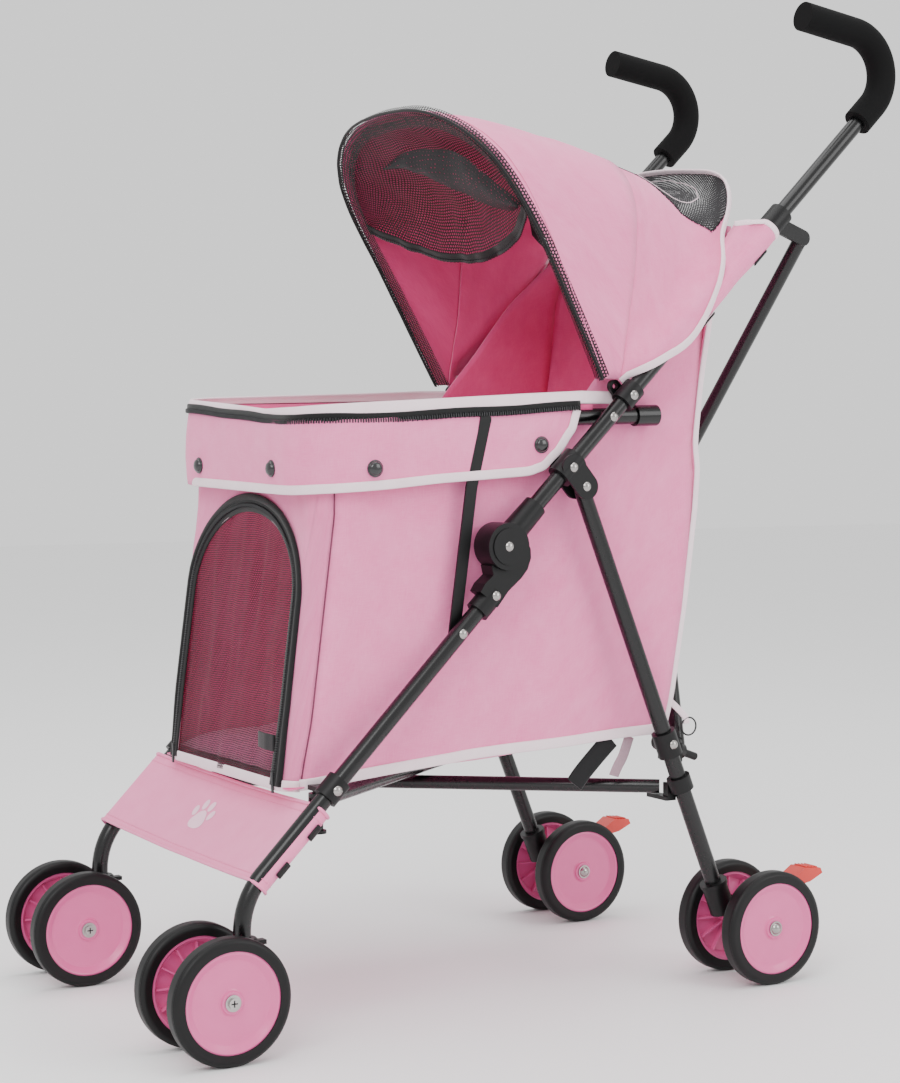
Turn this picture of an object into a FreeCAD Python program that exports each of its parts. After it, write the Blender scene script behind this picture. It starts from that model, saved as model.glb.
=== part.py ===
import FreeCAD, Part
import math
import os

import Sketcher
from FreeCAD import Placement, Rotation

V = FreeCAD.Vector
C = Sketcher.Constraint

# Umbrella-fold pet stroller. Millimetres, +Z up, stroller faces -Y, +X is its left side, floor at Z = 0.
# Side-plane stations are first written from the front axle (y = 0) and then moved back by y_centre,
# so that the origin lies on the floor under the middle of the overall box.

doc = FreeCAD.newDocument("pet_stroller")
sheet = doc.addObject("Spreadsheet::Sheet", "dims")

TABLE = [
    ("y_centre", 366.04), ("side_x", 171.0), ("tube_rad", 8.2), ("tube_bore", 6.8), ("run_fit", 0.05),
    ("push_lean", 44.7), ("push_start_y", 325.0), ("push_start_z", 471.4), ("push_run", 607.6),
    ("handle_rad", 43.45), ("handle_turn", 126.7), ("handle_reach", 64.0),
    ("grip_rad", 15.0), ("grip_run", 26.6), ("grip_reach", 69.0), ("grip_round", 4.0),
    ("stem_y", 29.5), ("stem_bottom", 62.0), ("stem_run", 47.2), ("stem_bend", 70.0), ("stem_turn", 44.63), ("low_run", 344.9),
    ("leg_top_y", 391.4), ("leg_top_z", 510.8), ("leg_len", 464.5), ("leg_lean", 21.96),
    ("knee_y", 302.0), ("knee_z", 449.5), ("knee_rad", 22.5), ("knee_wide", 28.0),
    ("clamp_rad", 12.6), ("clamp_len", 27.0), ("ear_thick", 3.0),
    ("rest_x", 151.5), ("rest_len", 193.0), ("cap_rad", 10.5), ("cap_len", 26.0), ("strap_wide", 12.0), ("strap_thick", 2.4),
    ("wheel_rad", 57.5), ("disc_rad", 46.0), ("tyre_wide", 19.0), ("wheel_half_gap", 36.5), ("axle_rad", 4.0), ("axle_z", 57.5),
    ("rear_axle_y", 600.0), ("rear_pair_x", 173.5), ("fork_boss", 11.0), ("fork_half", 26.7), ("washer_rad", 7.5),
    ("brace_rad", 7.5), ("brace_offset", 9.0), ("brace_pin", 4.0), ("eye_rad", 8.5), ("eye_len", 8.0),
    ("under_rad", 7.0), ("under_up_z", 217.0), ("under_low_z", 200.0), ("post_rad", 5.0),
    ("fabric", 3.0), ("bag_half", 141.0), ("mat_thick", 12.0), ("rivet_ball", 6.0),
    ("lever_wide", 14.0), ("lever_pin", 3.0), ("hoop_rad", 2.5),
]
VAL = {}
for row, (alias, value) in enumerate(TABLE, 1):
    sheet.set("A%d" % row, alias)
    sheet.set("B%d" % row, str(value))
    sheet.setAlias("B%d" % row, alias)
    VAL[alias] = value
doc.recompute()

NODES = []
YC = VAL["y_centre"]
SX = VAL["side_x"]
TR = VAL["tube_rad"]


def at(x, y, z):
    """A point given from the front axle, in the part's frame."""
    return V(x, y - YC, z)


def bind(obj, **exprs):
    for name, expr in exprs.items():
        obj.setExpression(name.replace("__", "."), expr)
    return obj


def keep(obj, label):
    obj.Label = label
    NODES.append(obj)
    return obj


def plane(body, role):
    return [f for f in body.Origin.OriginFeatures if f.Role == role][0]


def sketch_on(body, name, role, offset=0.0):
    s = body.newObject("Sketcher::SketchObject", name)
    s.AttachmentSupport = [(plane(body, role), "")]
    s.MapMode = "FlatFace"
    if offset:
        s.AttachmentOffset = Placement(V(0, 0, offset), Rotation())
    return s


def dim(s, kind, expr, *args):
    i = s.addConstraint(C(kind, *args))
    if expr:
        s.setExpression("Constraints[%d]" % i, expr)


def outline(s, pts):
    """A closed polygon with every corner dimensioned from the sketch origin."""
    n = len(pts)
    ids = [s.addGeometry(Part.LineSegment(V(pts[k][0], pts[k][1], 0), V(pts[(k + 1) % n][0], pts[(k + 1) % n][1], 0)), False) for k in range(n)]
    for k in range(n):
        s.addConstraint(C("Coincident", ids[k], 2, ids[(k + 1) % n], 1))
        s.addConstraint(C("DistanceX", -1, 1, ids[k], 1, float(pts[k][0])))
        s.addConstraint(C("DistanceY", -1, 1, ids[k], 1, float(pts[k][1])))
    return ids


def bend_path(s, run, rad, turn, reach, side, exprs):
    """Straight run along +Y of the sketch, an arc, and a straight reach, all tangent."""
    a = math.radians(turn)
    c = V(side * rad, run, 0)
    mid = c + V(-side * rad * math.cos(a / 2), rad * math.sin(a / 2), 0)
    end = c + V(-side * rad * math.cos(a), rad * math.sin(a), 0)
    l1 = s.addGeometry(Part.LineSegment(V(0, 0, 0), V(0, run, 0)), False)
    g = s.addGeometry(Part.Arc(V(0, run, 0), mid, end), False)
    l2 = s.addGeometry(Part.LineSegment(end, end + V(side * math.sin(a), math.cos(a), 0) * reach), False)
    first = 1 if (s.Geometry[g].StartPoint - V(0, run, 0)).Length < 1e-6 else 2
    s.addConstraint(C("Coincident", l1, 1, -1, 1))
    s.addConstraint(C("Vertical", l1))
    dim(s, "DistanceY", exprs[0], l1, 1, l1, 2, run)
    s.addConstraint(C("Tangent", l1, 2, g, first))
    s.addConstraint(C("Tangent", g, 3 - first, l2, 1))
    dim(s, "Radius", exprs[1], g, rad)
    dim(s, "Angle", "90 - (%d) * %s" % (side, exprs[2]), l2, math.radians(90) - side * a)
    dim(s, "Distance", exprs[3], l2, reach)


def circles(s, *exprs):
    for expr in exprs:
        g = s.addGeometry(Part.Circle(V(0, 0, 0), V(0, 0, 1), 5.0), False)
        s.addConstraint(C("Coincident", g, 3, -1, 1))
        dim(s, "Radius", expr, g, 5.0)


def sweep(body, kind, name, profile, path):
    f = body.newObject("PartDesign::" + kind, name)
    f.Profile = profile
    f.Spine = (path, ["Edge1", "Edge2", "Edge3"])
    body.Tip = f
    return f


def new_body(name, placement):
    b = doc.addObject("PartDesign::Body", name)
    b.AllowCompound = True
    b.Placement = placement
    return b


def rot_x(deg):
    return Rotation(V(1, 0, 0), deg)


def along(axis):
    return Rotation(V(0, 0, 1), axis)


def cyl(name, rad, length, base, axis):
    o = doc.addObject("Part::Cylinder", name)
    o.Placement = Placement(base, along(axis))
    for prop, value in (("Radius", rad), ("Height", length)):
        if isinstance(value, str):
            o.setExpression(prop, value)
        else:
            setattr(o, prop, value)
    return o


def mid_cyl(name, rad, length, centre, axis):
    """Cylinder centred on a point: length is a number here."""
    axis = V(axis).normalize()
    return cyl(name, rad, length, centre - axis * (length / 2.0), axis)


def box(name, x0, x1, y0, y1, z0, z1):
    o = doc.addObject("Part::Box", name)
    o.Length, o.Width, o.Height = x1 - x0, y1 - y0, z1 - z0
    o.Placement = Placement(at(x0, y0, z0), Rotation())
    return o


def fuse(name, parts):
    o = doc.addObject("Part::MultiFuse", name)
    o.Shapes = parts
    return o


def cut(name, base, tools):
    tool = tools[0] if len(tools) == 1 else fuse(name + "_tool", tools)
    o = doc.addObject("Part::Cut", name)
    o.Base, o.Tool = base, tool
    return o


def group(name, parts):
    o = doc.addObject("Part::Compound", name)
    o.Links = parts
    return o


def link(name, c1, c2, rad, x0, x1):
    """Round-ended flat bar between two (y, z) centres, from x0 to x1."""
    p1, p2 = at(x0, *c1), at(x0, *c2)
    d = p2 - p1
    a = cyl(name + "_a", rad, x1 - x0, p1, V(1, 0, 0))
    b = cyl(name + "_b", rad, x1 - x0, p2, V(1, 0, 0))
    m = doc.addObject("Part::Box", name + "_m")
    m.Length, m.Width, m.Height = x1 - x0, d.Length, 2 * rad
    deg = math.degrees(math.atan2(d.z, d.y))
    r = rot_x(deg)
    m.Placement = Placement(p1 + r.multVec(V(0, 0, -rad)), r)
    return [a, b, m]


def mirror(src, label):
    o = doc.addObject("Part::Mirroring", label)
    o.Source = src
    o.Normal = V(1, 0, 0)
    o.Base = V(0, 0, 0)
    return keep(o, label)


def both(obj, stem):
    keep(obj, stem + "_left")
    mirror(obj, stem + "_right")


def solid_node(shape, label, placement=None):
    o = doc.addObject("Part::Feature", label)
    o.Shape = shape
    o.Placement = placement or Placement()
    return keep(o, label)


# Directions in the side plane
LEAN = math.radians(VAL["push_lean"])
UT = V(0, math.cos(LEAN), math.sin(LEAN))
UN = V(0, math.sin(LEAN), -math.cos(LEAN))  # behind and below the push tube
LT = V(0, math.cos(math.radians(90 - VAL["stem_turn"])), math.sin(math.radians(90 - VAL["stem_turn"])))
RL = V(0, math.sin(math.radians(VAL["leg_lean"])), -math.cos(math.radians(VAL["leg_lean"])))


def ut(y):
    return VAL["push_start_z"] + (y - VAL["push_start_y"]) * math.tan(LEAN)


def lt(y):
    return 158.4 + (y - 49.7) * LT.z / LT.y


def leg(z):
    return VAL["leg_top_y"] + (VAL["leg_top_z"] - z) * math.tan(math.radians(VAL["leg_lean"]))


# ---- push tube with the J handle and its foam grip ------------------------------------------------------------
body = new_body("upper_tube_left", Placement(at(SX, VAL["push_start_y"], VAL["push_start_z"]), rot_x(-(90 - VAL["push_lean"]))))
path = sketch_on(body, "push_path", "YZ_Plane")
bend_path(path, VAL["push_run"], VAL["handle_rad"], VAL["handle_turn"], VAL["handle_reach"], -1,
          ("dims.push_run", "dims.handle_rad", "dims.handle_turn", "dims.handle_reach"))
ring = sketch_on(body, "push_ring", "XY_Plane")
circles(ring, "dims.tube_rad", "dims.tube_bore")
doc.recompute()
sweep(body, "AdditivePipe", "push_pipe", ring, path)
both(body, "upper_tube")

grip_at = at(SX, VAL["push_start_y"], VAL["push_start_z"]) + UT * (VAL["push_run"] - VAL["grip_run"])
body = new_body("grip_foam", Placement(grip_at, rot_x(-(90 - VAL["push_lean"]))))
path = sketch_on(body, "grip_path", "YZ_Plane")
bend_path(path, VAL["grip_run"], VAL["handle_rad"], VAL["handle_turn"], VAL["grip_reach"], -1,
          ("dims.grip_run", "dims.handle_rad", "dims.handle_turn", "dims.grip_reach"))
disc = sketch_on(body, "grip_disc", "XY_Plane")
circles(disc, "dims.grip_rad", "dims.tube_rad")
doc.recompute()
sweep(body, "AdditivePipe", "grip_pipe", disc, path)
turn = math.radians(VAL["handle_turn"])
bend_mid = at(SX, VAL["push_start_y"], VAL["push_start_z"]) + UT * VAL["push_run"] - UN * VAL["handle_rad"]
bend_end = bend_mid + UN * (VAL["handle_rad"] * math.cos(turn)) + UT * (VAL["handle_rad"] * math.sin(turn))
reach_dir = UT * math.cos(turn) - UN * math.sin(turn)
plug = cyl("grip_plug", "dims.tube_rad + 0.4", "dims.grip_reach - dims.handle_reach", bend_end + reach_dir * VAL["handle_reach"], reach_dir)
both(fuse("grip_left", [body, plug]), "grip")

# ---- lower tube, bent down to the caster ----------------------------------------------------------------------
body = new_body("lower_tube_left", Placement(at(SX, VAL["stem_y"], VAL["stem_bottom"]), Rotation(V(0, 0, 1), 180)))
path = sketch_on(body, "low_path", "YZ_Plane")
bend_path(path, VAL["stem_run"], VAL["stem_bend"], VAL["stem_turn"], VAL["low_run"], -1,
          ("dims.stem_run", "dims.stem_bend", "dims.stem_turn", "dims.low_run"))
ring = sketch_on(body, "low_ring", "XY_Plane")
circles(ring, "dims.tube_rad", "dims.tube_bore")
doc.recompute()
sweep(body, "AdditivePipe", "low_pipe", ring, path)
both(body, "lower_tube")

# ---- rear leg -------------------------------------------------------------------------------------------------
leg_top = at(SX, VAL["leg_top_y"], VAL["leg_top_z"])
o = cut("rear_leg_left", cyl("leg_outer", "dims.tube_rad", "dims.leg_len", leg_top, RL), [cyl("leg_inner", "dims.tube_bore", "dims.leg_len + 2", leg_top - RL, RL)])
both(o, "rear_leg")

# ---- bracket that hangs the rear leg from the push tube -------------------------------------------------------
b1 = at(SX, 378.0, ut(378.0))
pivot = (leg(505.2), 505.2)
ears = []
for x0 in (SX - 11.6, SX + 8.6):
    ears += link("ear_%d" % len(ears), (378.0, ut(378.0)), pivot, 12.5, x0, x0 + VAL["ear_thick"])
o = fuse("bracket_blank", [mid_cyl("bracket_sleeve", "dims.clamp_rad", VAL["clamp_len"], b1, UT)] + ears)
o = cut("leg_bracket_left", o, [mid_cyl("bracket_bore", "dims.tube_rad", 90, b1, UT)])
both(o, "leg_bracket")

# ---- folding knee ---------------------------------------------------------------------------------------------
K = (VAL["knee_y"], VAL["knee_z"])
kx = SX + 2.0
disc = cyl("knee_disc", "dims.knee_rad", "dims.knee_wide", at(kx - VAL["knee_wide"] / 2, *K), V(1, 0, 0))
face = cyl("knee_face", "dims.knee_rad - 5", 1.2, at(kx + VAL["knee_wide"] / 2, *K), V(1, 0, 0))
taper = doc.addObject("Part::Cone", "knee_taper")
taper.Radius1, taper.Radius2, taper.Height = 13.2, 11.6, 55.0
taper.Placement = Placement(at(SX, K[0], ut(K[0])), along(UT))
o = fuse("knee_blank", [disc, face, taper])
o = cut("knee_upper_left", o, [cyl("knee_bore", "dims.tube_rad", 60, at(SX, VAL["push_start_y"], VAL["push_start_z"]), UT)])
both(o, "knee_upper")

body = new_body("knee_arm", Placement(at(161.0, 0, 0), Rotation()))
s = sketch_on(body, "knee_arm_outline", "YZ_Plane")
outline(s, [(302, 449.5), (326.6, 452.6), (329.8, 446.3), (330.1, 437.3), (326.4, 427.1), (319.6, 419.0), (304.7, 406.7), (292.8, 391.8),
            (286.4, 393.5), (279.3, 403.1), (274.0, 407.0), (278.8, 414.6), (288.2, 422.5), (286, 431)])
pad = body.newObject("PartDesign::Pad", "knee_arm_pad")
pad.Profile = s
pad.Length = 20.0
body.Tip = pad
sleeve_mid = at(SX, 285.0, lt(285.0))
o = fuse("knee_low_blank", [body, mid_cyl("knee_sleeve", 11.6, 26.0, sleeve_mid, LT)])
tube_end = at(SX, 49.7, 158.4) + LT * VAL["low_run"]
o = cut("knee_lower_left", o, [cyl("knee_low_bore", "dims.tube_rad", 80, tube_end - LT * 80, LT),
                               cyl("knee_low_disc", "dims.knee_rad + 0.3", 60, at(SX - 30, *K), V(1, 0, 0))])
both(o, "knee_lower")

# ---- side rail (armrest) with its end cap, and the flat strip that holds it up --------------------------------
rest_y, rest_z = 283.0, 569.6
rest_dir = V(0, 193.0, 4.8).normalize()
start = at(VAL["rest_x"], rest_y, rest_z)
p1 = (427.5, ut(427.5))
cap = cyl("rest_cap", "dims.cap_rad", "dims.cap_len", start + rest_dir * (VAL["rest_len"] - 6), rest_dir)
spacer = cyl("rest_spacer", 5.0, SX - TR - 0.1 - VAL["rest_x"], at(VAL["rest_x"], *p1), V(1, 0, 0))
o = fuse("rest_blank", [cyl("rest_tube", "dims.tube_rad", "dims.rest_len", start, rest_dir), cap, spacer])
o = cut("armrest_left", o, [cyl("rest_bore", "dims.tube_bore", "dims.rest_len - 8", start - rest_dir, rest_dir)])
both(o, "armrest")

x0 = SX - TR - 0.3 - VAL["strap_thick"]
strip = link("strip_low", (256.5, lt(256.5)), (275.5, 506.0), VAL["strap_wide"] / 2, x0, x0 + VAL["strap_thick"])
strip += link("strip_high", (275.5, 506.0), (291.0, 569.8), VAL["strap_wide"] / 2, x0, x0 + VAL["strap_thick"])
both(fuse("armrest_link_left", strip), "armrest_link")

# ---- clip that carries the canopy pivot -----------------------------------------------------------------------
hinge = (441.0, 603.0)
clip_mid = at(SX, 449.0, ut(449.0))
lug = link("clip_lug", (449.0, ut(449.0)), hinge, 6.5, 155.5, 160.5)
o = fuse("clip_blank", [mid_cyl("clip_ring", 11.5, 22.0, clip_mid, UT)] + lug)
o = cut("canopy_clip_left", o, [mid_cyl("clip_bore", "dims.tube_rad", 60, clip_mid, UT), cyl("clip_hole", 3.0, 12, at(152, *hinge), V(1, 0, 0))])
both(o, "canopy_clip")

# ---- rear foot: clamp on the rear leg with the pin of the rear cross brace, and the tray under the lower bars;
#      front foot: clamp on the lower tube with the upright post of the lower bars ------------------------------
half = 143.0
low = V(half, 541.0, 232.0)
top = V(-half, 674.0, 761.0)
travel = 90.0
span = top - low
# direction of a brace bar with the stroller open and with it folded
d0 = V(span).normalize()
w = span.y * UT.y + span.z * UT.z
rise = -w + math.sqrt(w * w + (span.Length ** 2 - (2 * half - 2 * travel) ** 2 - span.y ** 2 - span.z ** 2))
d1 = V(-(2 * half - 2 * travel), span.y + rise * UT.y, span.z + rise * UT.z).normalize()
brace_axis = d0.cross(d1).normalize()
brace_deg = math.degrees(d0.getAngle(d1))
nrm = V(0, -span.z, span.y).normalize()
off = nrm * VAL["brace_offset"]

foot_mid = at(SX, leg(247.0), 247.0)
pin_axis = V(brace_axis)
if pin_axis.y < 0:
    pin_axis = -pin_axis
low_a = at(low.x, low.y, low.z) + off
step = 18.7
common = [mid_cyl("foot_ring", 12.2, 26.0, foot_mid, RL)]
common += link("foot_arm", (leg(247.0), 247.0), (514.0, 238.0), 8.0, 155.0, 163.5)
common.append(box("foot_block", 133.0, 163.5, 514.0, 522.5, 226.0, 245.0))
common.append(cyl("foot_pin", "dims.brace_pin", 41.0, low_a - pin_axis * 15.0, pin_axis))


def front_foot(tag):
    mid = at(SX, 121.0, lt(121.0))
    blank = fuse("front_foot_blank" + tag, [mid_cyl("front_ring" + tag, 11.8, 22.0, mid, LT),
                                            box("front_plate" + tag, 143.0, 165.0, 110.0, 126.0, 227.5, 232.0),
                                            cyl("front_post" + tag, "dims.post_rad", 40.5, at(148.0, 118.0, 189.0), V(0, 0, 1)),
                                            cyl("front_nut" + tag, 8.0, 3.0, at(148.0, 118.0, 187.0), V(0, 0, 1))])
    return cut("front_foot" + tag, blank, [mid_cyl("front_bore" + tag, "dims.tube_rad", 60, mid, LT)])


def tray(tag, bottom):
    ring_mid = at(SX, leg(206.0), 206.0)
    return [mid_cyl("tray_ring" + tag, 12.0, 15.0, ring_mid, RL), box("tray_web" + tag, 157.5, 166.0, 503.0, 513.0, bottom - 5.0, 206.0),
            box("tray_plate" + tag, 132.0, 166.0, 501.0, 513.0, bottom - 5.0, bottom - 1.0)]


leg_hole = [cyl("foot_bore_l", "dims.tube_rad", 140, at(SX, leg(290.0), 290.0), RL)]
blank = fuse("foot_blank_l", common + tray("_l", VAL["under_low_z"] - VAL["under_rad"]))
left_rear = cut("rear_foot_l", blank, leg_hole)
front_l = front_foot("_l")
keep(group("frame_feet_left", [left_rear, front_l]), "frame_feet_left")
mirrored = []
for k, src in enumerate([fuse("foot_common_r", common)] + tray("_r", VAL["under_up_z"] - VAL["under_rad"]) + leg_hole + [front_l]):
    m = doc.addObject("Part::Mirroring", "foot_mirror_%d" % k)
    m.Source, m.Normal, m.Base = src, V(1, 0, 0), V(0, 0, 0)
    mirrored.append(m)
right_rear = cut("rear_foot_r", fuse("foot_blank_r", mirrored[:-2]), [mirrored[-2]])
keep(group("frame_feet_right", [right_rear, mirrored[-1]]), "frame_feet_right")

# ---- rear cross brace: two tubes with flattened eyes ----------------------------------------------------------
def flip(v):
    return V(-v.x, v.y, v.z)


def brace(label, foot, direction, axis):
    end = foot + direction * span.Length
    bar = cyl(label + "_tube", "dims.brace_rad", span.Length, foot, direction)
    eye_a = mid_cyl(label + "_eye_a", "dims.eye_rad", VAL["eye_len"], foot, axis)
    eye_b = mid_cyl(label + "_eye_b", "dims.eye_rad", VAL["eye_len"], end, axis)
    blank = fuse(label + "_blank", [bar, eye_a, eye_b])
    hollow = cyl(label + "_bore", "dims.brace_rad - 1.3", span.Length - 40, foot + direction * 20, direction)
    hole = mid_cyl(label + "_hole", "dims.brace_pin + dims.run_fit", 40, foot, axis)
    return cut(label, blank, [hollow, hole]), end


bar_a, end_a = brace("brace_bar_front", low_a, d0, pin_axis)
keep(bar_a, "brace_bar_front")
low_b = flip(low_a) + flip(pin_axis) * step
bar_b, end_b = brace("brace_bar_rear", low_b, flip(d0), flip(pin_axis))
keep(bar_b, "brace_bar_rear")

# ---- sliding collar on the push tube, with the lug beside the brace's upper eye --------------------------------
coll = at(SX, 630.0, ut(630.0))
lug = link("collar_lug", (633.0, ut(633.0) - 2), (676.0, 758.5), 8.0, 157.5, 161.5)
o = fuse("collar_blank", [mid_cyl("collar_ring", 12.4, 24.0, coll, UT)] + lug)
o = cut("brace_collar_left", o, [mid_cyl("collar_bore", "dims.tube_rad + dims.run_fit", 80, coll, UT)])
both(o, "brace_collar")

# ---- crossed bars under the cabin -----------------------------------------------------------------------------
def under(label, sign, height):
    p, q = at(148.0 * sign, 118.0, height), at(-146.0 * sign, 507.0, height)
    d = (q - p).normalize()
    bar = cyl(label + "_tube", "dims.under_rad", (q - p).Length, p, d)
    eye = mid_cyl(label + "_eye", 9.0, 15.0, p, V(0, 0, 1))
    plug = cyl(label + "_plug", "dims.under_rad + 0.6", 10.0, q - d * 8, d)
    blank = fuse(label + "_blank", [bar, eye])
    return cut(label, blank, [cyl(label + "_bore", "dims.under_rad - 1.2", (q - p).Length - 40, p + d * 20, d),
                              mid_cyl(label + "_hole", "dims.post_rad + dims.run_fit", 60, p, V(0, 0, 1))])


keep(under("lower_bar_upper", 1, VAL["under_up_z"]), "lower_bar_upper")
keep(under("lower_bar_under", -1, VAL["under_low_z"]), "lower_bar_under")

# ---- rivets: domed heads in line with each fastener -----------------------------------------------------------
def dome(name, x, y, z, inward=False):
    """Domed head whose flat side lies at x, on the outer (or inner) face."""
    o = doc.addObject("Part::Sphere", name)
    o.setExpression("Radius", "dims.rivet_ball")
    o.Angle1, o.Angle2, o.Angle3 = 40, 90, 360
    depth = VAL["rivet_ball"] * math.sin(math.radians(40))
    sign = -1 if inward else 1
    o.Placement = Placement(at(x - sign * depth, y, z), along(V(sign, 0, 0)))
    return o


heads = [dome("rivet_knee", kx + VAL["knee_wide"] / 2 + 1.2, *K), dome("rivet_b1", SX + 12.6, 378.0, ut(378.0)), dome("rivet_b2", SX + 11.6, *pivot),
         dome("rivet_low", SX + 11.6, 291.0, lt(291.0)), dome("rivet_p3", SX + TR, 256.5, lt(256.5)), dome("rivet_f", SX + 11.8, 121.0, lt(121.0)),
         dome("rivet_r", SX + 12.2, leg(247.0), 247.0), dome("rivet_p1", SX + TR, *p1), dome("rivet_clip", SX + 11.5, 449.0, ut(449.0)),
         dome("rivet_b2_in", SX - 11.6, pivot[0], pivot[1], True), dome("rivet_b1_in", SX - 12.6, 378.0, ut(378.0), True)]
both(group("side_rivets_left", heads), "side_rivets")

# ---- wheels ---------------------------------------------------------------------------------------------------
def round_part(label, place, pts, fillet_at=()):
    """A pair of wheels' parts: one profile turned about X and mirrored across the pair."""
    b = new_body(label, place)
    b.setExpression("Placement.Base.z", "dims.axle_z")
    s = sketch_on(b, label + "_profile", "XZ_Plane")
    outline(s, pts)
    r = b.newObject("PartDesign::Revolution", label + "_turn")
    r.Profile = s
    r.ReferenceAxis = (s, ["H_Axis"])
    r.Angle = 360
    b.Tip = r
    doc.recompute()
    last = r
    picks = [("Edge%d" % (i + 1)) for i, e in enumerate(b.Shape.Edges)
             if e.Curve.TypeId == "Part::GeomCircle" and any(abs(e.Curve.Radius - rad) < 1e-3 and abs(e.Curve.Center.x - x) < 1e-3 for x, rad in fillet_at)]
    if picks:
        f = b.newObject("PartDesign::Fillet", label + "_round")
        f.Base = (r, picks)
        f.Radius = 4.6
        b.Tip = f
        doc.recompute()
        last = f
    m = b.newObject("PartDesign::Mirrored", label + "_pair")
    m.Originals = [r] if last is r else [r, last]
    m.MirrorPlane = (plane(b, "YZ_Plane"), [""])
    b.Tip = m
    doc.recompute()
    return b


g = VAL["wheel_half_gap"]
RW, RD, TW = VAL["wheel_rad"], VAL["disc_rad"], VAL["tyre_wide"] / 2
bore = VAL["axle_rad"] + VAL["run_fit"]


def tyre_pts():
    out = []
    for deg in range(0, 91, 15):
        a = math.radians(deg)
        out.append((g - TW + 5.5 - 5.5 * math.cos(a), RW - 5.5 + 5.5 * math.sin(a)))
    for deg in range(90, -1, -15):
        a = math.radians(deg)
        out.append((g + TW - 5.5 + 5.5 * math.cos(a), RW - 5.5 + 5.5 * math.sin(a)))
    return [(round(x, 4), round(z, 4)) for x, z in [(g - TW, RD)] + out + [(g + TW, RD)]]


DISC = [(g - 8.0, RD), (g + 8.2, RD), (g + 8.6, 44.6), (g + 8.2, 43.2), (g + 6.6, 41.0), (g + 4.6, 38.0), (g + 4.2, 36.0), (g + 4.4, 12.5), (g + 5.2, 11.0),
        (g + 7.0, 10.0), (g + 7.0, bore), (g - 9.5, bore), (g - 9.5, 9.0), (g + 0.6, 10.5), (g + 0.9, 38.0), (g - 6.5, 42.6), (g - 8.0, 43.4)]
for name, cx, cy in (("front", SX, 0.0), ("rear", VAL["rear_pair_x"], VAL["rear_axle_y"])):
    both(round_part(name + "_tyres_left", Placement(at(cx, cy, 57.5), Rotation()), tyre_pts()), name + "_tyres")
    both(round_part(name + "_discs_left", Placement(at(cx, cy, 57.5), Rotation()), DISC), name + "_discs")
    reach = g + 7.3
    c0 = at(cx - reach, cy, VAL["axle_z"])
    shaft = cyl(name + "_shaft", "dims.axle_rad", 2 * reach, c0, V(1, 0, 0))
    ends = []
    for sign in (-1, 1):
        e = at(cx + sign * reach, cy, VAL["axle_z"])
        ends.append(cyl(name + "_washer%d" % (sign + 1), "dims.washer_rad", 1.2, e, V(sign, 0, 0)))
        if name == "front":
            ends.append(cyl(name + "_head%d" % (sign + 1), 4.8, 3.4, e, V(sign, 0, 0)))
        else:
            ball = doc.addObject("Part::Sphere", name + "_cap%d" % (sign + 1))
            ball.Radius, ball.Angle1, ball.Angle2 = 6.4, 20, 90
            ball.Placement = Placement(e - V(sign, 0, 0) * 1.2, along(V(sign, 0, 0)))
            ends.append(ball)
    both(fuse(name + "_axle_left", [shaft] + ends), name + "_axle")

# ---- caster fork: swivels about the lower tube's upright end ----------------------------------------------------
stem = at(SX, VAL["stem_y"], 0)
hub_c = at(SX, 0, VAL["axle_z"])
web = link("caster_web", (VAL["stem_y"] - 2, 66.0), (0.0, VAL["axle_z"]), 9.5, SX - 6.0, SX + 6.0)
blank = fuse("caster_blank", [cyl("caster_collar", 12.6, 47.0, stem + V(0, 0, 57.0), V(0, 0, 1)), cyl("caster_rim", 13.8, 4.0, stem + V(0, 0, 99.0), V(0, 0, 1)),
                              mid_cyl("caster_boss", "dims.fork_boss", 2 * VAL["fork_half"], hub_c, V(1, 0, 0)),
                              box("caster_tab", SX - 4.5, SX + 4.5, 40.0, 52.0, 96.5, 100.5)] + web)
o = cut("caster_fork_left", blank, [cyl("caster_bore", "dims.tube_rad + dims.run_fit", 60, stem + V(0, 0, VAL["stem_bottom"] - 0.3), V(0, 0, 1)),
                                    mid_cyl("caster_axle_bore", "dims.axle_rad", 80, hub_c, V(1, 0, 0))])
both(o, "caster_fork")

# ---- rear fork, fixed on the leg, with the brake lever's ears ---------------------------------------------------
RX = VAL["rear_pair_x"]
boss = at(RX, VAL["rear_axle_y"], VAL["axle_z"])
leg_end = leg_top + RL * VAL["leg_len"]
brk = (617.0, 86.0)
web = link("rear_web", (leg(84.0) + 4, 80.0), (600.0, 57.5), 10.5, RX - 8.5, RX + 4.5)
ears = link("brake_ear_in", (600.0, 60.0), brk, 6.5, RX - 14.0, RX - 8.0) + link("brake_ear_out", (600.0, 60.0), brk, 6.5, RX + 8.0, RX + 14.0)
blank = fuse("rear_blank", [mid_cyl("rear_collar", 13.0, 34.0, leg_end - RL * 7.0, RL), mid_cyl("rear_rim", 14.2, 4.0, leg_end - RL * 22.0, RL),
                            mid_cyl("rear_boss", "dims.fork_boss", 2 * VAL["fork_half"], boss, V(1, 0, 0)),
                            mid_cyl("brake_pin", "dims.lever_pin", 26.0, at(RX, *brk), V(1, 0, 0))] + web + ears)
o = cut("rear_fork_left", blank, [cyl("rear_bore", "dims.tube_rad", 120, leg_end - RL * 120, RL), mid_cyl("rear_axle_bore", "dims.axle_rad", 80, boss, V(1, 0, 0))])
both(o, "rear_fork")

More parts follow.
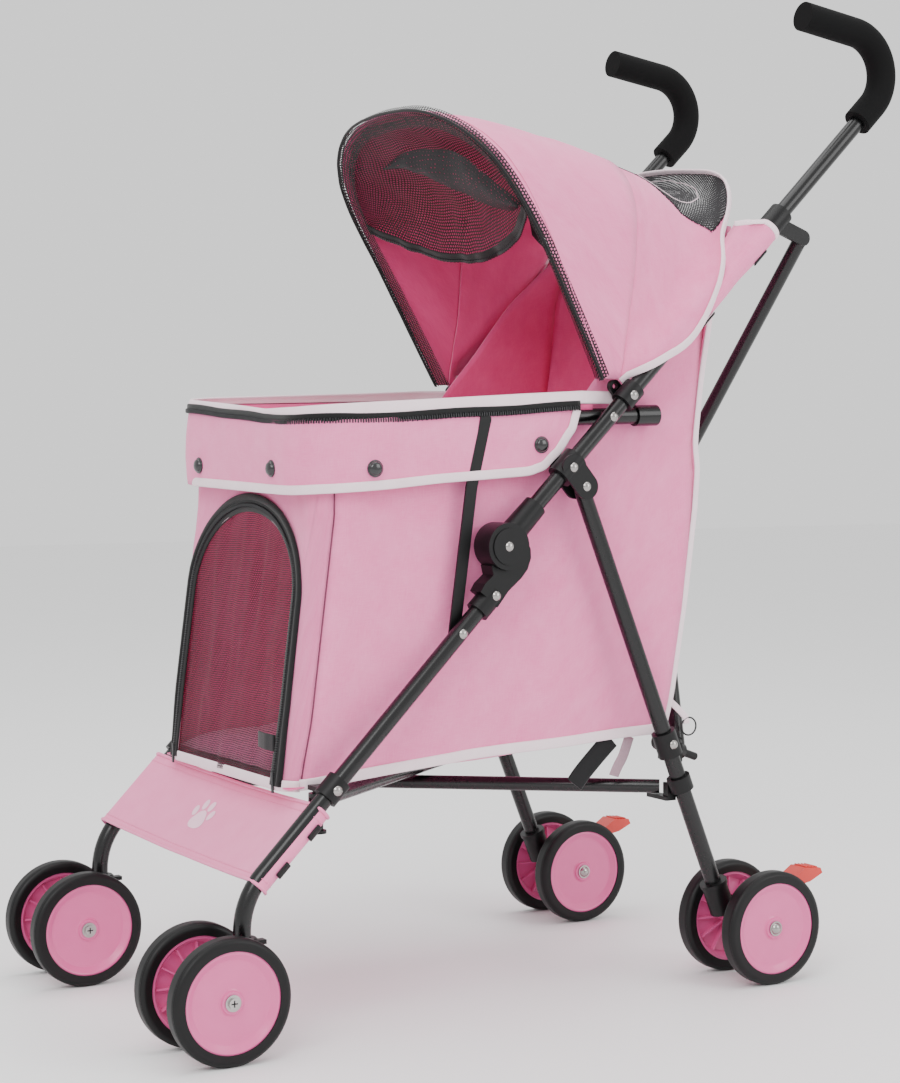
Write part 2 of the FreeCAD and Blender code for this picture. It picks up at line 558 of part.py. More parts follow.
lw = VAL["lever_wide"] / 2
arm = link("lever_arm", brk, (650.0, 91.5), 5.2, RX - lw, RX + lw)
body = new_body("lever_pedal", Placement(at(RX, 0, 0), Rotation()))
s = sketch_on(body, "lever_pedal_outline", "YZ_Plane")
outline(s, [(646, 88.5), (671, 93), (687, 100.5), (684.5, 106), (664.5, 107.5), (653, 100), (645, 96)])
pad = body.newObject("PartDesign::Pad", "lever_pedal_pad")
pad.Profile = s
pad.Length = 24.0
pad.Midplane = True
body.Tip = pad
blank = fuse("lever_blank", arm + [body])
o = cut("brake_lever_left", blank, [mid_cyl("lever_bore", "dims.lever_pin + dims.run_fit", 60, at(RX, *brk), V(1, 0, 0))])
both(o, "brake_lever")

# ---- cabin fabric ---------------------------------------------------------------------------------------------
def panel(label, role, pts, place, length, mid=False, hole=None):
    b = new_body(label, place)
    s = sketch_on(b, label + "_outline", role)
    outline(s, pts)
    if hole:
        outline(s, hole)
    p = b.newObject("PartDesign::Pad", label + "_pad")
    p.Profile = s
    if isinstance(length, str):
        p.setExpression("Length", length)
    else:
        p.Length = length
    p.Midplane = mid
    b.Tip = p
    return b


zero = Placement(at(0, 0, 0), Rotation())
side = panel("bag_side_left", "YZ_Plane", [(87, 237), (300, 253), (519, 267), (538, 388), (551, 591), (599, 742), (437, 583), (427, 590), (258, 582), (129, 572)],
             Placement(at(VAL["bag_half"] - VAL["fabric"], 0, 0), Rotation()), "dims.fabric")
both(side, "bag_side")

# the front wall and its door lean back with height, turned about the wall's foot
TILT = Rotation(V(1, 0, 0), -7.27)
FOOT = at(0, 88, 233)
FRONT = Placement(FOOT - TILT.multVec(V(0, 0, 233)), TILT)
ARCH = [(119.4, 238)] + [(119.4 * math.cos(math.radians(t)), 401.4 + 91.2 * math.sin(math.radians(t))) for t in range(0, 181, 15)] + [(-119.4, 238)]
ARCH = [(round(x, 3), round(z, 3)) for x, z in ARCH]
hole = [(x * 120.1 / 119.4, 401.4 + (z - 401.4) * 91.9 / 91.2) for x, z in ARCH[1:-1]]
frame_pts = [(-137.5, 568.5), (-137.5, 233), (-120.1, 233)] + [(round(x, 3), round(z, 3)) for x, z in reversed(hole)] + [(120.1, 233), (137.5, 233), (137.5, 568.5)]
keep(panel("bag_front", "XZ_Plane", frame_pts, FRONT, "dims.fabric"), "bag_front")
door_hinge = at(0, 87.14, 238.15)
door_rod = cyl("door_hinge_rod", 1.9, 236.0, door_hinge - V(118, 0, 0), V(1, 0, 0))
keep(fuse("front_door", [panel("door_sheet", "XZ_Plane", ARCH, FRONT, "dims.fabric"), door_rod]), "front_door")
keep(panel("bag_rear", "YZ_Plane", [(519.5, 268), (538.3, 388), (551.3, 591), (599.5, 744), (602.5, 743), (554.5, 590.4), (541.4, 387.6), (522.5, 267.5)], zero, 275.0, True), "bag_rear")
keep(panel("bag_floor", "YZ_Plane", [(90, 233), (519, 263), (519, 266), (90, 236)], zero, 275.0, True), "bag_floor")
keep(panel("floor_mat", "YZ_Plane", [(98, 238), (507, 266.5), (506.2, 278.5), (97.2, 250)], zero, 262.0, True), "floor_mat")
keep(panel("footrest_sling", "YZ_Plane", [(104, 215.5), (48.5, 158.8), (40.2, 147), (43.6, 144.8), (51.5, 156), (106.8, 212.6)], zero, 324.0, True), "footrest_sling")

U = [(166, 338), (166, 162), (160, 133), (145.5, 113), (121, 104), (-121, 104), (-145.5, 113), (-160, 133), (-166, 162), (-166, 338),
     (-163, 338), (-163, 162.5), (-157.3, 134.4), (-144, 115.6), (-120.4, 107), (120.4, 107), (144, 115.6), (157.3, 134.4), (163, 162.5), (163, 338)]
keep(panel("front_flap", "XY_Plane", U, Placement(at(0, 0, 503), Rotation()), 79.0), "front_flap")

# ---- canopy: a fixed rear hood and a front hood that swings on the clips ----------------------------------------
HY, HZ = hinge
SHAPE = [(0.06, 158), (0.22, 164), (0.43, 166), (0.60, 163), (0.72, 156), (0.83, 138), (0.90, 118), (0.95, 92), (0.985, 54), (1.0, 0)]


def station(deg, rad, grow, thick):
    a = math.radians(deg)
    u = V(0, math.cos(a), math.sin(a))
    base = at(0, HY, HZ)
    outer = [(w + grow, r * rad) for r, w in SHAPE]
    inner = [(w + grow - thick, r * rad - (thick if r > 0.5 else 0.0)) for r, w in SHAPE[:-1]] + [(0, rad - thick)]
    ring = [(x, r) for x, r in outer] + [(-x, r) for x, r in reversed(outer[:-1])] + [(-x, r) for x, r in inner[:-1]] + [(x, r) for x, r in reversed(inner)]
    pts = [base + u * r + V(x, 0, 0) for x, r in ring]
    return Part.makePolygon(pts + [pts[0]])


def hood(label, stations, grow):
    wires = [station(d, r, grow, VAL["fabric"]) for d, r in stations]
    shape = Part.makeLoft(wires, True, True)
    if shape.Volume < 0:
        shape.reverse()
    return solid_node(shape, label)


hood("canopy_rear", [(100, 262), (88, 246), (76, 244), (66, 254), (59, 265), (50, 236)], 0.0)
hood("canopy_front", [(99.0, 266), (107, 279), (114.5, 298), (122.3, 322)], 4.0)

a = math.radians(122.3)
u = V(0, math.cos(a), math.sin(a))
run = [at(0, HY, HZ) + u * (r * 322 - (8.0 if r > 0.5 else 0.0)) + V(w - 6.0, 0, 0) for r, w in SHAPE[:-1]]
run = [at(152.6, HY, HZ)] + run + [at(0, HY, HZ) + u * (322 - 9.0)]
run = run + [flip(p) for p in reversed(run[:-1])]
spine = Part.makePolygon(run)
circle = Part.Wire(Part.makeCircle(VAL["hoop_rad"], run[0], run[1] - run[0]))
wire = spine.makePipeShell([circle], True, False, 1)
if wire.Volume < 0:
    wire.reverse()
# a pin at each end, in the clip's hole
wire = wire.fuse([Part.makeCylinder(2.7, 8.5, at(150.0, HY, HZ), V(1, 0, 0)), Part.makeCylinder(2.7, 8.5, at(-150.0, HY, HZ), V(-1, 0, 0))]).removeSplitter()
solid_node(wire, "canopy_hoop")

# ---- check and write --------------------------------------------------------------------------------------------
doc.recompute()
bad = [o.Name for o in doc.Objects if "Invalid" in o.State or "Error" in o.State]
if bad:
    for n in bad:
        q = doc.getObject(n)
        print(n, q.State, q.getStatusString(), [(b.Name, b.State) for b in q.OutList])
    raise RuntimeError("failed objects: %s" % bad)
os.makedirs("parts", exist_ok=True)
names = [o.Label for o in NODES]
if len(set(names)) != len(names) or len(names) > 60:
    raise RuntimeError("node names or count: %d" % len(names))
box_all = FreeCAD.BoundBox()
for o in NODES:
    shape = o.Shape
    if shape.isNull() or not shape.isValid() or not shape.Solids:
        raise RuntimeError("bad shape: %s" % o.Label)
    box_all.add(shape.BoundBox)
    shape.exportStep("parts/%s.step" % o.Label)
print("nodes", len(NODES))
print("box", [round(v, 2) for v in (box_all.XMin, box_all.XMax, box_all.YMin, box_all.YMax, box_all.ZMin, box_all.ZMax)])
print("brace axis", [round(v, 5) for v in pin_axis], "turn", round(brace_deg, 3), "rise", round(rise, 3))
print("brace pivots", [round(v / 1000, 5) for v in low_a], [round(v / 1000, 5) for v in low_b], "sign", round(brace_axis.dot(pin_axis), 3))
print("door hinge", [round(v / 1000, 6) for v in door_hinge])
print("hinge", [round(v / 1000, 5) for v in at(0, HY, HZ)], "brake", [round(v / 1000, 5) for v in at(RX, *brk)])
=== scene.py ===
import math

import bpy
import bmesh
import numpy as np
from mathutils import Matrix, Vector, noise


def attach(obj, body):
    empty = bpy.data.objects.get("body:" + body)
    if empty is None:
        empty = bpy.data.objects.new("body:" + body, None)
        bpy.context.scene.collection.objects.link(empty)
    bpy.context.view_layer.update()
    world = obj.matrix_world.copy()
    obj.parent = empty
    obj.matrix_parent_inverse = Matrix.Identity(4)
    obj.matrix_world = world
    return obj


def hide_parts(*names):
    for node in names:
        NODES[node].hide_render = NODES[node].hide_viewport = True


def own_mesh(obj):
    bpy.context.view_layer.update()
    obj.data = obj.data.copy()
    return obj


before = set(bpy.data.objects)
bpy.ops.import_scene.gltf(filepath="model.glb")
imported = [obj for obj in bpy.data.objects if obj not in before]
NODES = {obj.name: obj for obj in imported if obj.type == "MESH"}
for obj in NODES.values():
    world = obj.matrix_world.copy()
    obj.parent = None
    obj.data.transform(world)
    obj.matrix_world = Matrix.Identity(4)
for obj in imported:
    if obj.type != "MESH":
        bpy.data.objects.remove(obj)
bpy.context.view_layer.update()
YC = 366.04


def P(x, y, z):
    """Millimetres with y measured from the front axle, to metres in the row frame."""
    return Vector((x / 1000, (y - YC) / 1000, z / 1000))


def ramp(x, keys):
    """Smooth-ish interpolation through (x, value) pairs."""
    if x <= keys[0][0]:
        return keys[0][1]
    for (a, va), (b, vb) in zip(keys, keys[1:]):
        if x <= b:
            return va + (vb - va) * (x - a) / (b - a)
    return keys[-1][1]


def step(x, a, b):
    t = min(1.0, max(0.0, (x - a) / (b - a)))
    return t * t * (3 - 2 * t)


def spline(pts, n):
    """Centripetal-free Catmull-Rom through the points, n samples a span."""
    pts = [Vector(p) for p in pts]
    out = []
    for i in range(len(pts) - 1):
        p0, p1, p2, p3 = pts[max(i - 1, 0)], pts[i], pts[i + 1], pts[min(i + 2, len(pts) - 1)]
        for k in range(n):
            t = k / n
            out.append(0.5 * ((2 * p1) + (p2 - p0) * t + (2 * p0 - 5 * p1 + 4 * p2 - p3) * t * t + (3 * p1 - p0 - 3 * p2 + p3) * t ** 3))
    return out + [pts[-1]]


def wob(p, scale, seed=0.0):
    return noise.noise(Vector((p[0] * scale + seed, p[1] * scale - seed, p[2] * scale + 2.3 * seed)))


# ---- materials ------------------------------------------------------------------------------------------------
def new_mat(name):
    m = bpy.data.materials.new(name)
    m.use_nodes = True
    nt = m.node_tree
    b = nt.nodes["Principled BSDF"]
    return m, nt, b


def node(nt, kind, **props):
    n = nt.nodes.new(kind)
    for k, v in props.items():
        setattr(n, k, v)
    return n


def put(n, name, value):
    n.inputs[name].default_value = value


def math_node(nt, op, a, b=None, clamp=False):
    n = node(nt, "ShaderNodeMath", operation=op, use_clamp=clamp)
    for i, v in enumerate((a, b)):
        if v is None:
            continue
        if isinstance(v, (int, float)):
            n.inputs[i].default_value = v
        else:
            nt.links.new(v, n.inputs[i])
    return n.outputs[0]


def mix_rgb(nt, fac, a, b):
    n = node(nt, "ShaderNodeMix", data_type="RGBA")
    nt.links.new(fac, n.inputs[0])
    for i, v in ((6, a), (7, b)):
        if isinstance(v, tuple):
            n.inputs[i].default_value = v
        else:
            nt.links.new(v, n.inputs[i])
    return n.outputs[2]


def rgb(h, k=1.0):
    """Display hex to linear."""
    out = []
    for i in (0, 2, 4):
        c = int(h[i:i + 2], 16) / 255
        out.append((c / 12.92 if c <= 0.04045 else ((c + 0.055) / 1.055) ** 2.4) * k)
    return (out[0], out[1], out[2], 1.0)


def scaled(nt, vec, sx, sy, sz=1.0):
    n = node(nt, "ShaderNodeMapping")
    n.inputs["Scale"].default_value = (sx, sy, sz)
    nt.links.new(vec, n.inputs["Vector"])
    return n.outputs[0]


def noise_tex(nt, vec, scale, detail=2.0, rough=0.5):
    n = node(nt, "ShaderNodeTexNoise")
    put(n, "Scale", scale)
    put(n, "Detail", detail)
    put(n, "Roughness", rough)
    nt.links.new(vec, n.inputs["Vector"])
    return n.outputs["Fac"]


def wave_tex(nt, vec, pitch, axis, distort=0.6):
    n = node(nt, "ShaderNodeTexWave", wave_type="BANDS", bands_direction=axis, wave_profile="SIN")
    put(n, "Scale", 0.314159 / pitch)
    put(n, "Distortion", distort)
    put(n, "Detail", 1.0)
    put(n, "Detail Scale", 1.5)
    nt.links.new(vec, n.inputs["Vector"])
    return n.outputs["Fac"]


def bump(nt, b, height, dist, strength=1.0):
    n = node(nt, "ShaderNodeBump")
    put(n, "Distance", dist)
    put(n, "Strength", strength)
    nt.links.new(height, n.inputs["Height"])
    nt.links.new(n.outputs[0], b.inputs["Normal"])


def flat_coord(nt):
    a = node(nt, "ShaderNodeAttribute", attribute_name="flat")
    return a.outputs["Vector"]


def obj_coord(nt):
    return node(nt, "ShaderNodeTexCoord").outputs["Object"]


def fabric(name, light, dark, pitch=0.0009, rough=0.82, depth=0.00012, sheen=0.25, slub=0.55):
    """Plain weave: fine crossed threads, slubs both ways and soft mottling."""
    m, nt, b = new_mat(name)
    v = flat_coord(nt)
    warp = wave_tex(nt, v, pitch, "X")
    weft = wave_tex(nt, v, pitch, "Y")
    weave = math_node(nt, "MULTIPLY", math_node(nt, "ADD", warp, weft), 0.5)
    s1 = noise_tex(nt, scaled(nt, v, 900, 90), 1.0, 2.0)
    s2 = noise_tex(nt, scaled(nt, v, 90, 900), 1.0, 2.0)
    slubs = math_node(nt, "MULTIPLY", math_node(nt, "ADD", s1, s2), 0.5)
    mott = noise_tex(nt, v, 34, 3.0, 0.6)
    f = math_node(nt, "ADD", math_node(nt, "MULTIPLY", math_node(nt, "SUBTRACT", slubs, 0.5), 2.4 * slub),
                  math_node(nt, "MULTIPLY", math_node(nt, "SUBTRACT", mott, 0.5), 1.1))
    f = math_node(nt, "ADD", f, math_node(nt, "MULTIPLY", math_node(nt, "SUBTRACT", weave, 0.5), 0.35))
    f = math_node(nt, "ADD", f, 0.5, clamp=True)
    nt.links.new(mix_rgb(nt, f, dark, light), b.inputs["Base Color"])
    put(b, "Roughness", rough)
    put(b, "Specular IOR Level", 0.25)
    put(b, "Sheen Weight", sheen)
    put(b, "Sheen Roughness", 0.5)
    bump(nt, b, math_node(nt, "ADD", weave, math_node(nt, "MULTIPLY", slubs, 0.6)), depth)
    return m


def hard(name, base, other, rough, grain=0.0, grain_scale=900, metal=0.0, coat=0.0, vary=0.08, spec=0.5, streak=False):
    """Plastic, rubber, paint or metal with slight variation and surface grain."""
    m, nt, b = new_mat(name)
    v = obj_coord(nt)
    n1 = noise_tex(nt, v, 60, 3.0, 0.6)
    fine = noise_tex(nt, v, grain_scale, 2.0, 0.5)
    nt.links.new(mix_rgb(nt, n1, base, other), b.inputs["Base Color"])
    r = math_node(nt, "ADD", math_node(nt, "MULTIPLY", math_node(nt, "SUBTRACT", n1, 0.5), 2 * vary), rough)
    nt.links.new(r, b.inputs["Roughness"])
    put(b, "Metallic", metal)
    put(b, "Coat Weight", coat)
    put(b, "Coat Roughness", 0.15)
    put(b, "Specular IOR Level", spec)
    if grain:
        bump(nt, b, fine, grain)
    return m


def net(name, colour, pitch, hole, rough=0.6, axis_mix=True, lighter=None):
    """Knitted net: round holes in staggered rows, cut out with alpha."""
    m, nt, b = new_mat(name)
    v = flat_coord(nt)
    sep = node(nt, "ShaderNodeSeparateXYZ")
    nt.links.new(v, sep.inputs[0])
    w1 = noise_tex(nt, v, 30, 1.0)
    off = math_node(nt, "MULTIPLY", math_node(nt, "SUBTRACT", w1, 0.5), 1.2)
    u = math_node(nt, "ADD", math_node(nt, "DIVIDE", sep.outputs[0], pitch), off)
    w = math_node(nt, "ADD", math_node(nt, "DIVIDE", sep.outputs[1], pitch * 0.9), off)
    row = math_node(nt, "FLOOR", w)
    odd = math_node(nt, "MULTIPLY", math_node(nt, "PINGPONG", row, 1.0), 0.5)
    uf = math_node(nt, "SUBTRACT", math_node(nt, "FRACT", math_node(nt, "ADD", u, odd)), 0.5)
    wf = math_node(nt, "SUBTRACT", math_node(nt, "FRACT", w), 0.5)
    d = math_node(nt, "SQRT", math_node(nt, "ADD", math_node(nt, "MULTIPLY", uf, uf), math_node(nt, "MULTIPLY", wf, wf)))
    solid = math_node(nt, "GREATER_THAN", d, hole)
    nt.links.new(solid, b.inputs["Alpha"])
    n1 = noise_tex(nt, v, 600, 2.0)
    nt.links.new(mix_rgb(nt, n1, colour, lighter or tuple(min(1, c * 1.8) for c in colour[:3]) + (1,)), b.inputs["Base Color"])
    put(b, "Roughness", rough)
    put(b, "Specular IOR Level", 0.35)
    bump(nt, b, d, 0.0003)
    return m


def tape(name, base, other, pitch=0.0011, rough=0.7):
    """Ribbed woven tape, ribs across its length."""
    m, nt, b = new_mat(name)
    v = flat_coord(nt)
    rib = wave_tex(nt, v, pitch, "Y", 0.3)
    n1 = noise_tex(nt, v, 500, 2.0)
    f = math_node(nt, "ADD", math_node(nt, "MULTIPLY", rib, 0.5), math_node(nt, "MULTIPLY", n1, 0.5))
    nt.links.new(mix_rgb(nt, f, base, other), b.inputs["Base Color"])
    put(b, "Roughness", rough)
    put(b, "Specular IOR Level", 0.25)
    put(b, "Sheen Weight", 0.15)
    bump(nt, b, f, 0.00016)
    return m


M = {
    "pink": fabric("pink_canvas", rgb("FA92BF"), rgb("EF72A8")),
    # deeper pink for the inner faces of the cloth: painted shade, a darker copy of the pink canvas
    "pink_painted_shade": fabric("pink_inner_painted_shade", rgb("F2649F"), rgb("E24886"), rough=0.7, sheen=0.15),
    "pink_sling": fabric("pink_sling_cloth", rgb("FB92BF"), rgb("F27CAE"), slub=0.25),
    "print": fabric("print_pale", rgb("FBD3E4"), rgb("F6C2DA"), slub=0.3, sheen=0.0),
    "bind": fabric("pale_binding", rgb("FBE9EF"), rgb("F3D6E1"), pitch=0.0007, slub=0.35, sheen=0.3),
    "seam": fabric("seam_thread_dark", rgb("7A4055"), rgb("5E2C40"), pitch=0.0006, sheen=0.0),
    "stitch": fabric("stitch_thread_pale", rgb("F8E6EC"), rgb("E7C9D4"), pitch=0.0006, sheen=0.0),
    "mat": fabric("mat_cloth", rgb("E8669F"), rgb("D24C88"), pitch=0.0012, sheen=0.4),
    "web": tape("black_webbing", rgb("08080A"), rgb("151517")),
    "elastic": tape("grey_pink_elastic", rgb("B79AA6"), rgb("93757F")),
    "zip_tape": tape("zip_tape", rgb("060607"), rgb("101011"), pitch=0.0009),
    "zip_teeth": hard("zip_teeth_plastic", rgb("141416"), rgb("2A2A2D"), 0.35, 0.00002),
    "net_door": net("door_net", rgb("120C0F"), 0.0023, 0.36, lighter=rgb("4A2C38")),
    "net_hood": net("hood_net", rgb("0E0D0E"), 0.0036, 0.33),
    "net_fine": net("window_net", rgb("151314"), 0.0026, 0.27, lighter=rgb("3B3A3D")),
    "net_roll": net("rolled_net", rgb("121012"), 0.0052, 0.16, lighter=rgb("232124")),
    "tube": hard("tube_black_paint", rgb("060607"), rgb("0B0B0C"), 0.27, 0.00001, 700, coat=0.1, vary=0.06, spec=0.4),
    "plastic": hard("plastic_black", rgb("070708"), rgb("0D0D0E"), 0.42, 0.00004, 1100, vary=0.08, spec=0.3),
    "foam": hard("foam_black", rgb("060606"), rgb("0D0D0E"), 0.8, 0.00022, 1500, vary=0.05, spec=0.15),
    "rubber": hard("tyre_rubber_black", rgb("070708"), rgb("0C0C0D"), 0.45, 0.00003, 900, vary=0.06, spec=0.3),
    "disc": hard("wheel_plastic_pink", rgb("E0659E"), rgb("DA5C95"), 0.33, 0.00002, 500, coat=0.25, vary=0.05),
    "steel": hard("rivet_steel_bright", rgb("B9B6B2"), rgb("8C8987"), 0.24, 0.00002, 500, metal=1.0, vary=0.06),
    "zinc": hard("washer_zinc", rgb("C9C7C4"), rgb("9D9A98"), 0.34, 0.00003, 700, metal=1.0, vary=0.1),
    "red": hard("pedal_red", rgb("D8352A"), rgb("C62A22"), 0.38, 0.00003, 700, coat=0.2, vary=0.06),
    "gloss": hard("snap_black", rgb("121213"), rgb("1D1D1F"), 0.18, 0.0, coat=0.4, vary=0.04),
    "wire": hard("ring_wire_black", rgb("141415"), rgb("202022"), 0.4, 0.00002, 700),
}

CAD_LOOK = {
    "upper_tube": "tube", "lower_tube": "tube", "rear_leg": "tube", "armrest": "tube", "brace_bar": "tube", "lower_bar": "tube",
    "grip": "foam", "leg_bracket": "plastic", "knee_": "plastic", "armrest_link": "plastic", "canopy_clip": "plastic",
    "frame_feet": "plastic", "brace_collar": "plastic", "caster_fork": "plastic", "rear_fork": "plastic", "side_rivets": "steel",
    "front_tyres": "rubber", "rear_tyres": "rubber", "front_discs": "disc", "rear_discs": "disc", "front_axle": "zinc",
    "rear_axle": "steel", "brake_lever": "red", "canopy_hoop": "wire",
}
for name, ob in NODES.items():
    best = max((k for k in CAD_LOOK if name.startswith(k)), key=len, default=None)
    look = M[CAD_LOOK[best]] if best else M["pink"]
    for s in ob.material_slots:
        s.material = look
    if not ob.material_slots:
        ob.data.materials.append(look)


# ---- mesh helpers ---------------------------------------------------------------------------------------------
def make(name, verts, faces, mats, flat=None, index=None, smooth=True):
    me = bpy.data.meshes.new(name)
    me.from_pydata([tuple(v) for v in verts], [], faces)
    for m in mats:
        me.materials.append(m)
    if index is not None:
        me.polygons.foreach_set("material_index", index)
    a = me.attributes.new("flat", "FLOAT_VECTOR", "POINT")
    a.data.foreach_set("vector", np.array(flat if flat is not None else [(v[0], v[2], 0) for v in verts], np.float32).ravel())
    if smooth:
        me.polygons.foreach_set("use_smooth", [True] * len(faces))
    me.update()
    o = bpy.data.objects.new(name, me)
    bpy.context.scene.collection.objects.link(o)
    return o


def face_out(o, centre=None, direction=None):
    """Turns all faces so that they look away from a point, or along a direction."""
    s = 0.0
    for p in o.data.polygons:
        d = direction if direction is not None else (p.center - centre)
        s += p.normal.dot(d) * p.area
    if s < 0:
        o.data.flip_normals()
    return o


def sheet_grid(name, rows, mats, thick=0.0014, centre=None, direction=None, inner=True, index=None, shift=0.0, offset=-1.0):
    """Sheet of cloth from rows of points, with thickness; the inner face takes the second half of the materials, where
    the deeper pink is painted shade.
    """
    n, k = len(rows), len(rows[0])
    verts = [p for r in rows for p in r]
    faces, ids = [], []
    for i in range(n - 1):
        for j in range(k - 1):
            faces.append((i * k + j, i * k + j + 1, (i + 1) * k + j + 1, (i + 1) * k + j))
            ids.append(index(i, j) if index else 0)
    us = np.zeros((n, k)); vs = np.zeros((n, k))
    pts = np.array([[tuple(p) for p in r] for r in rows])
    us[:, 1:] = np.cumsum(np.linalg.norm(np.diff(pts, axis=1), axis=2), axis=1)
    us -= us[:, k // 2][:, None]
    vs[1:, :] = np.cumsum(np.linalg.norm(np.diff(pts, axis=0), axis=2), axis=0)
    flat = np.stack([us, vs, np.zeros_like(us)], axis=2).reshape(-1, 3)
    o = make(name, verts, faces, mats, flat, ids)
    if centre is not None or direction is not None:
        face_out(o, centre, direction)
    if thick:
        s = o.modifiers.new("thickness", "SOLIDIFY")
        s.thickness = thick
        s.offset = offset
        # inner faces get the second half of the materials: the deeper pink there is painted shade
        if inner and len(mats) > 1:
            s.material_offset = len(mats) // 2
    return o


def frames(pts, normals=None, closed=False):
    """Tangent, normal and side directions along a path."""
    n = len(pts)
    out = []
    last = None
    for i, p in enumerate(pts):
        a, b = (pts[i - 1], pts[(i + 1) % n]) if closed else (pts[max(i - 1, 0)], pts[min(i + 1, n - 1)])
        t = (b - a).normalized()
        if normals is not None:
            nn = normals[i]
        else:
            nn = last if last is not None else (Vector((0, 0, 1)) if abs(t.z) < 0.9 else Vector((1, 0, 0)))
        nn = (nn - t * nn.dot(t)).normalized()
        last = nn
        out.append((t, nn, t.cross(nn)))
    return out


def strip(name, pts, section, mat, normals=None, closed=False, twist=None, smooth=True):
    """Sweeps a closed section of (side, up) points, metres, along a path."""
    fr = frames(pts, normals, closed)
    k = len(section)
    verts, flat = [], []
    run = 0.0
    ring = [0.0]
    for a, b in zip(section, section[1:]):
        ring.append(ring[-1] + math.hypot(b[0] - a[0], b[1] - a[1]))
    for i, (p, (t, nn, bb)) in enumerate(zip(pts, fr)):
        if i:
            run += (p - pts[i - 1]).length
        for j, (sx, sy) in enumerate(section):
            verts.append(p + bb * sx + nn * sy)
            flat.append((ring[j], run, 0))
    faces = []
    n = len(pts)
    for i in range(n if closed else n - 1):
        for j in range(k):
            a, b = i * k + j, i * k + (j + 1) % k
            c, d = ((i + 1) % n) * k + (j + 1) % k, ((i + 1) % n) * k + j
            faces.append((a, b, c, d))
    if not closed:
        faces.append(tuple(range(k))[::-1])
        faces.append(tuple((n - 1) * k + j for j in range(k)))
    o = make(name, verts, faces, [mat], flat, smooth=smooth)
    bm = bmesh.new(); bm.from_mesh(o.data)
    bmesh.ops.recalc_face_normals(bm, faces=bm.faces)
    bm.to_mesh(o.data); bm.free()
    return o


def oval(w, h, n=14, p=2.0):
    """Oval section of the given width and height, in millimetres; p over 2 makes it boxier."""
    out = []
    for i in range(n):
        a = 2 * math.pi * i / n
        c, s = math.cos(a), math.sin(a)
        out.append((w / 2000 * math.copysign(abs(c) ** (2 / p), c), h / 2000 * math.copysign(abs(s) ** (2 / p), s)))
    return out


def resample(pts, gap):
    """Points the given distance apart along a polyline."""
    pts = [Vector(p) for p in pts]
    d = [0.0]
    for a, b in zip(pts, pts[1:]):
        d.append(d[-1] + (b - a).length)
    n = max(2, int(round(d[-1] / gap)) + 1)
    out, j = [], 0
    for i in range(n):
        s = d[-1] * i / (n - 1)
        while j < len(pts) - 2 and d[j + 1] < s:
            j += 1
        t = (s - d[j]) / max(d[j + 1] - d[j], 1e-12)
        out.append(pts[j].lerp(pts[j + 1], min(1.0, max(0.0, t))))
    return out


def teeth(name, pts, normals, mat, width=0.0036, gap=0.0021, high=0.0016, side=0.0):
    """Zip coil: one small rounded block per tooth along the path."""
    fr = frames(pts, normals)
    d = [0.0]
    for a, b in zip(pts, pts[1:]):
        d.append(d[-1] + (b - a).length)
    n = int(d[-1] / gap)
    verts, faces = [], []
    j = 0
    for i in range(n):
        s = gap * (i + 0.5)
        while j < len(pts) - 2 and d[j + 1] < s:
            j += 1
        f = (s - d[j]) / max(d[j + 1] - d[j], 1e-12)
        p = pts[j].lerp(pts[j + 1], f)
        t, nn, bb = fr[j]
        p = p + bb * side * (1 if i % 2 else 1)
        w, l = width / 2 * (1.0 if i % 2 else 0.82), gap * 0.31
        base = len(verts)
        for (u, v, h) in ((-w, -l, 0), (w, -l, 0), (w, l, 0), (-w, l, 0), (-w * .7, -l * .7, high), (w * .7, -l * .7, high), (w * .7, l * .7, high), (-w * .7, l * .7, high)):
            verts.append(p + bb * u + t * v + nn * h)
        faces += [tuple(base + q for q in f4) for f4 in ((3, 2, 1, 0), (4, 5, 6, 7), (0, 1, 5, 4), (1, 2, 6, 5), (2, 3, 7, 6), (3, 0, 4, 7))]
    return make(name, verts, faces, [mat], smooth=False)


def turned(name, profile, place, axis, mat, seg=40):
    """Round piece: profile of (radius, height) in millimetres about an axis."""
    z = Vector(axis).normalized()
    x = z.orthogonal().normalized(); y = z.cross(x)
    verts, faces = [], []
    for r, h in profile:
        for i in range(seg):
            a = 2 * math.pi * i / seg
            verts.append(Vector(place) + (x * math.cos(a) + y * math.sin(a)) * max(r, 0.01) / 1000 + z * h / 1000)
    for k in range(len(profile) - 1):
        for i in range(seg):
            a, b = k * seg + i, k * seg + (i + 1) % seg
            faces.append((a, b, b + seg, a + seg))
    faces.append(tuple(range(seg))[::-1])
    faces.append(tuple((len(profile) - 1) * seg + i for i in range(seg)))
    return make(name, verts, faces, [mat])


def add_flat(o):
    return o


def keep_soft(o, body="cabin", squash=True):
    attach(o, body)
    if squash:
        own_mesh(o)
    return o


# ---- cabin walls ----------------------------------------------------------------------------------------------
R_BAG = 28.0
BOTTOM = [(80, 225), (90, 226), (281, 243.5), (493, 254), (530, 257)]
REAR = [(250, 518), (265, 520), (388, 541), (480, 553), (560, 559.5), (704, 576), (760, 597), (800, 602)]


def bag_half(z):
    return 141.0 + 7.0 * step(z, 235, 300) - 7.0 * step(z, 515, 552)


def bag_front_y(z):
    return ramp(z, [(200, 87), (225, 90), (480, 122.5), (600, 124)])


def plan(s, hw, r, yf):
    """Point and outward normal at run s along a rounded plan, s = 0 at the middle of the front."""
    a = hw - r
    q, g = abs(s), (1 if s >= 0 else -1)
    if q <= a:
        return s, yf, (0, -1)
    if q <= a + r * math.pi / 2:
        f = (q - a) / r
        return g * (a + r * math.sin(f)), yf + r - r * math.cos(f), (g * math.sin(f), -math.cos(f))
    return g * hw, yf + r + q - a - r * math.pi / 2, (g, 0)


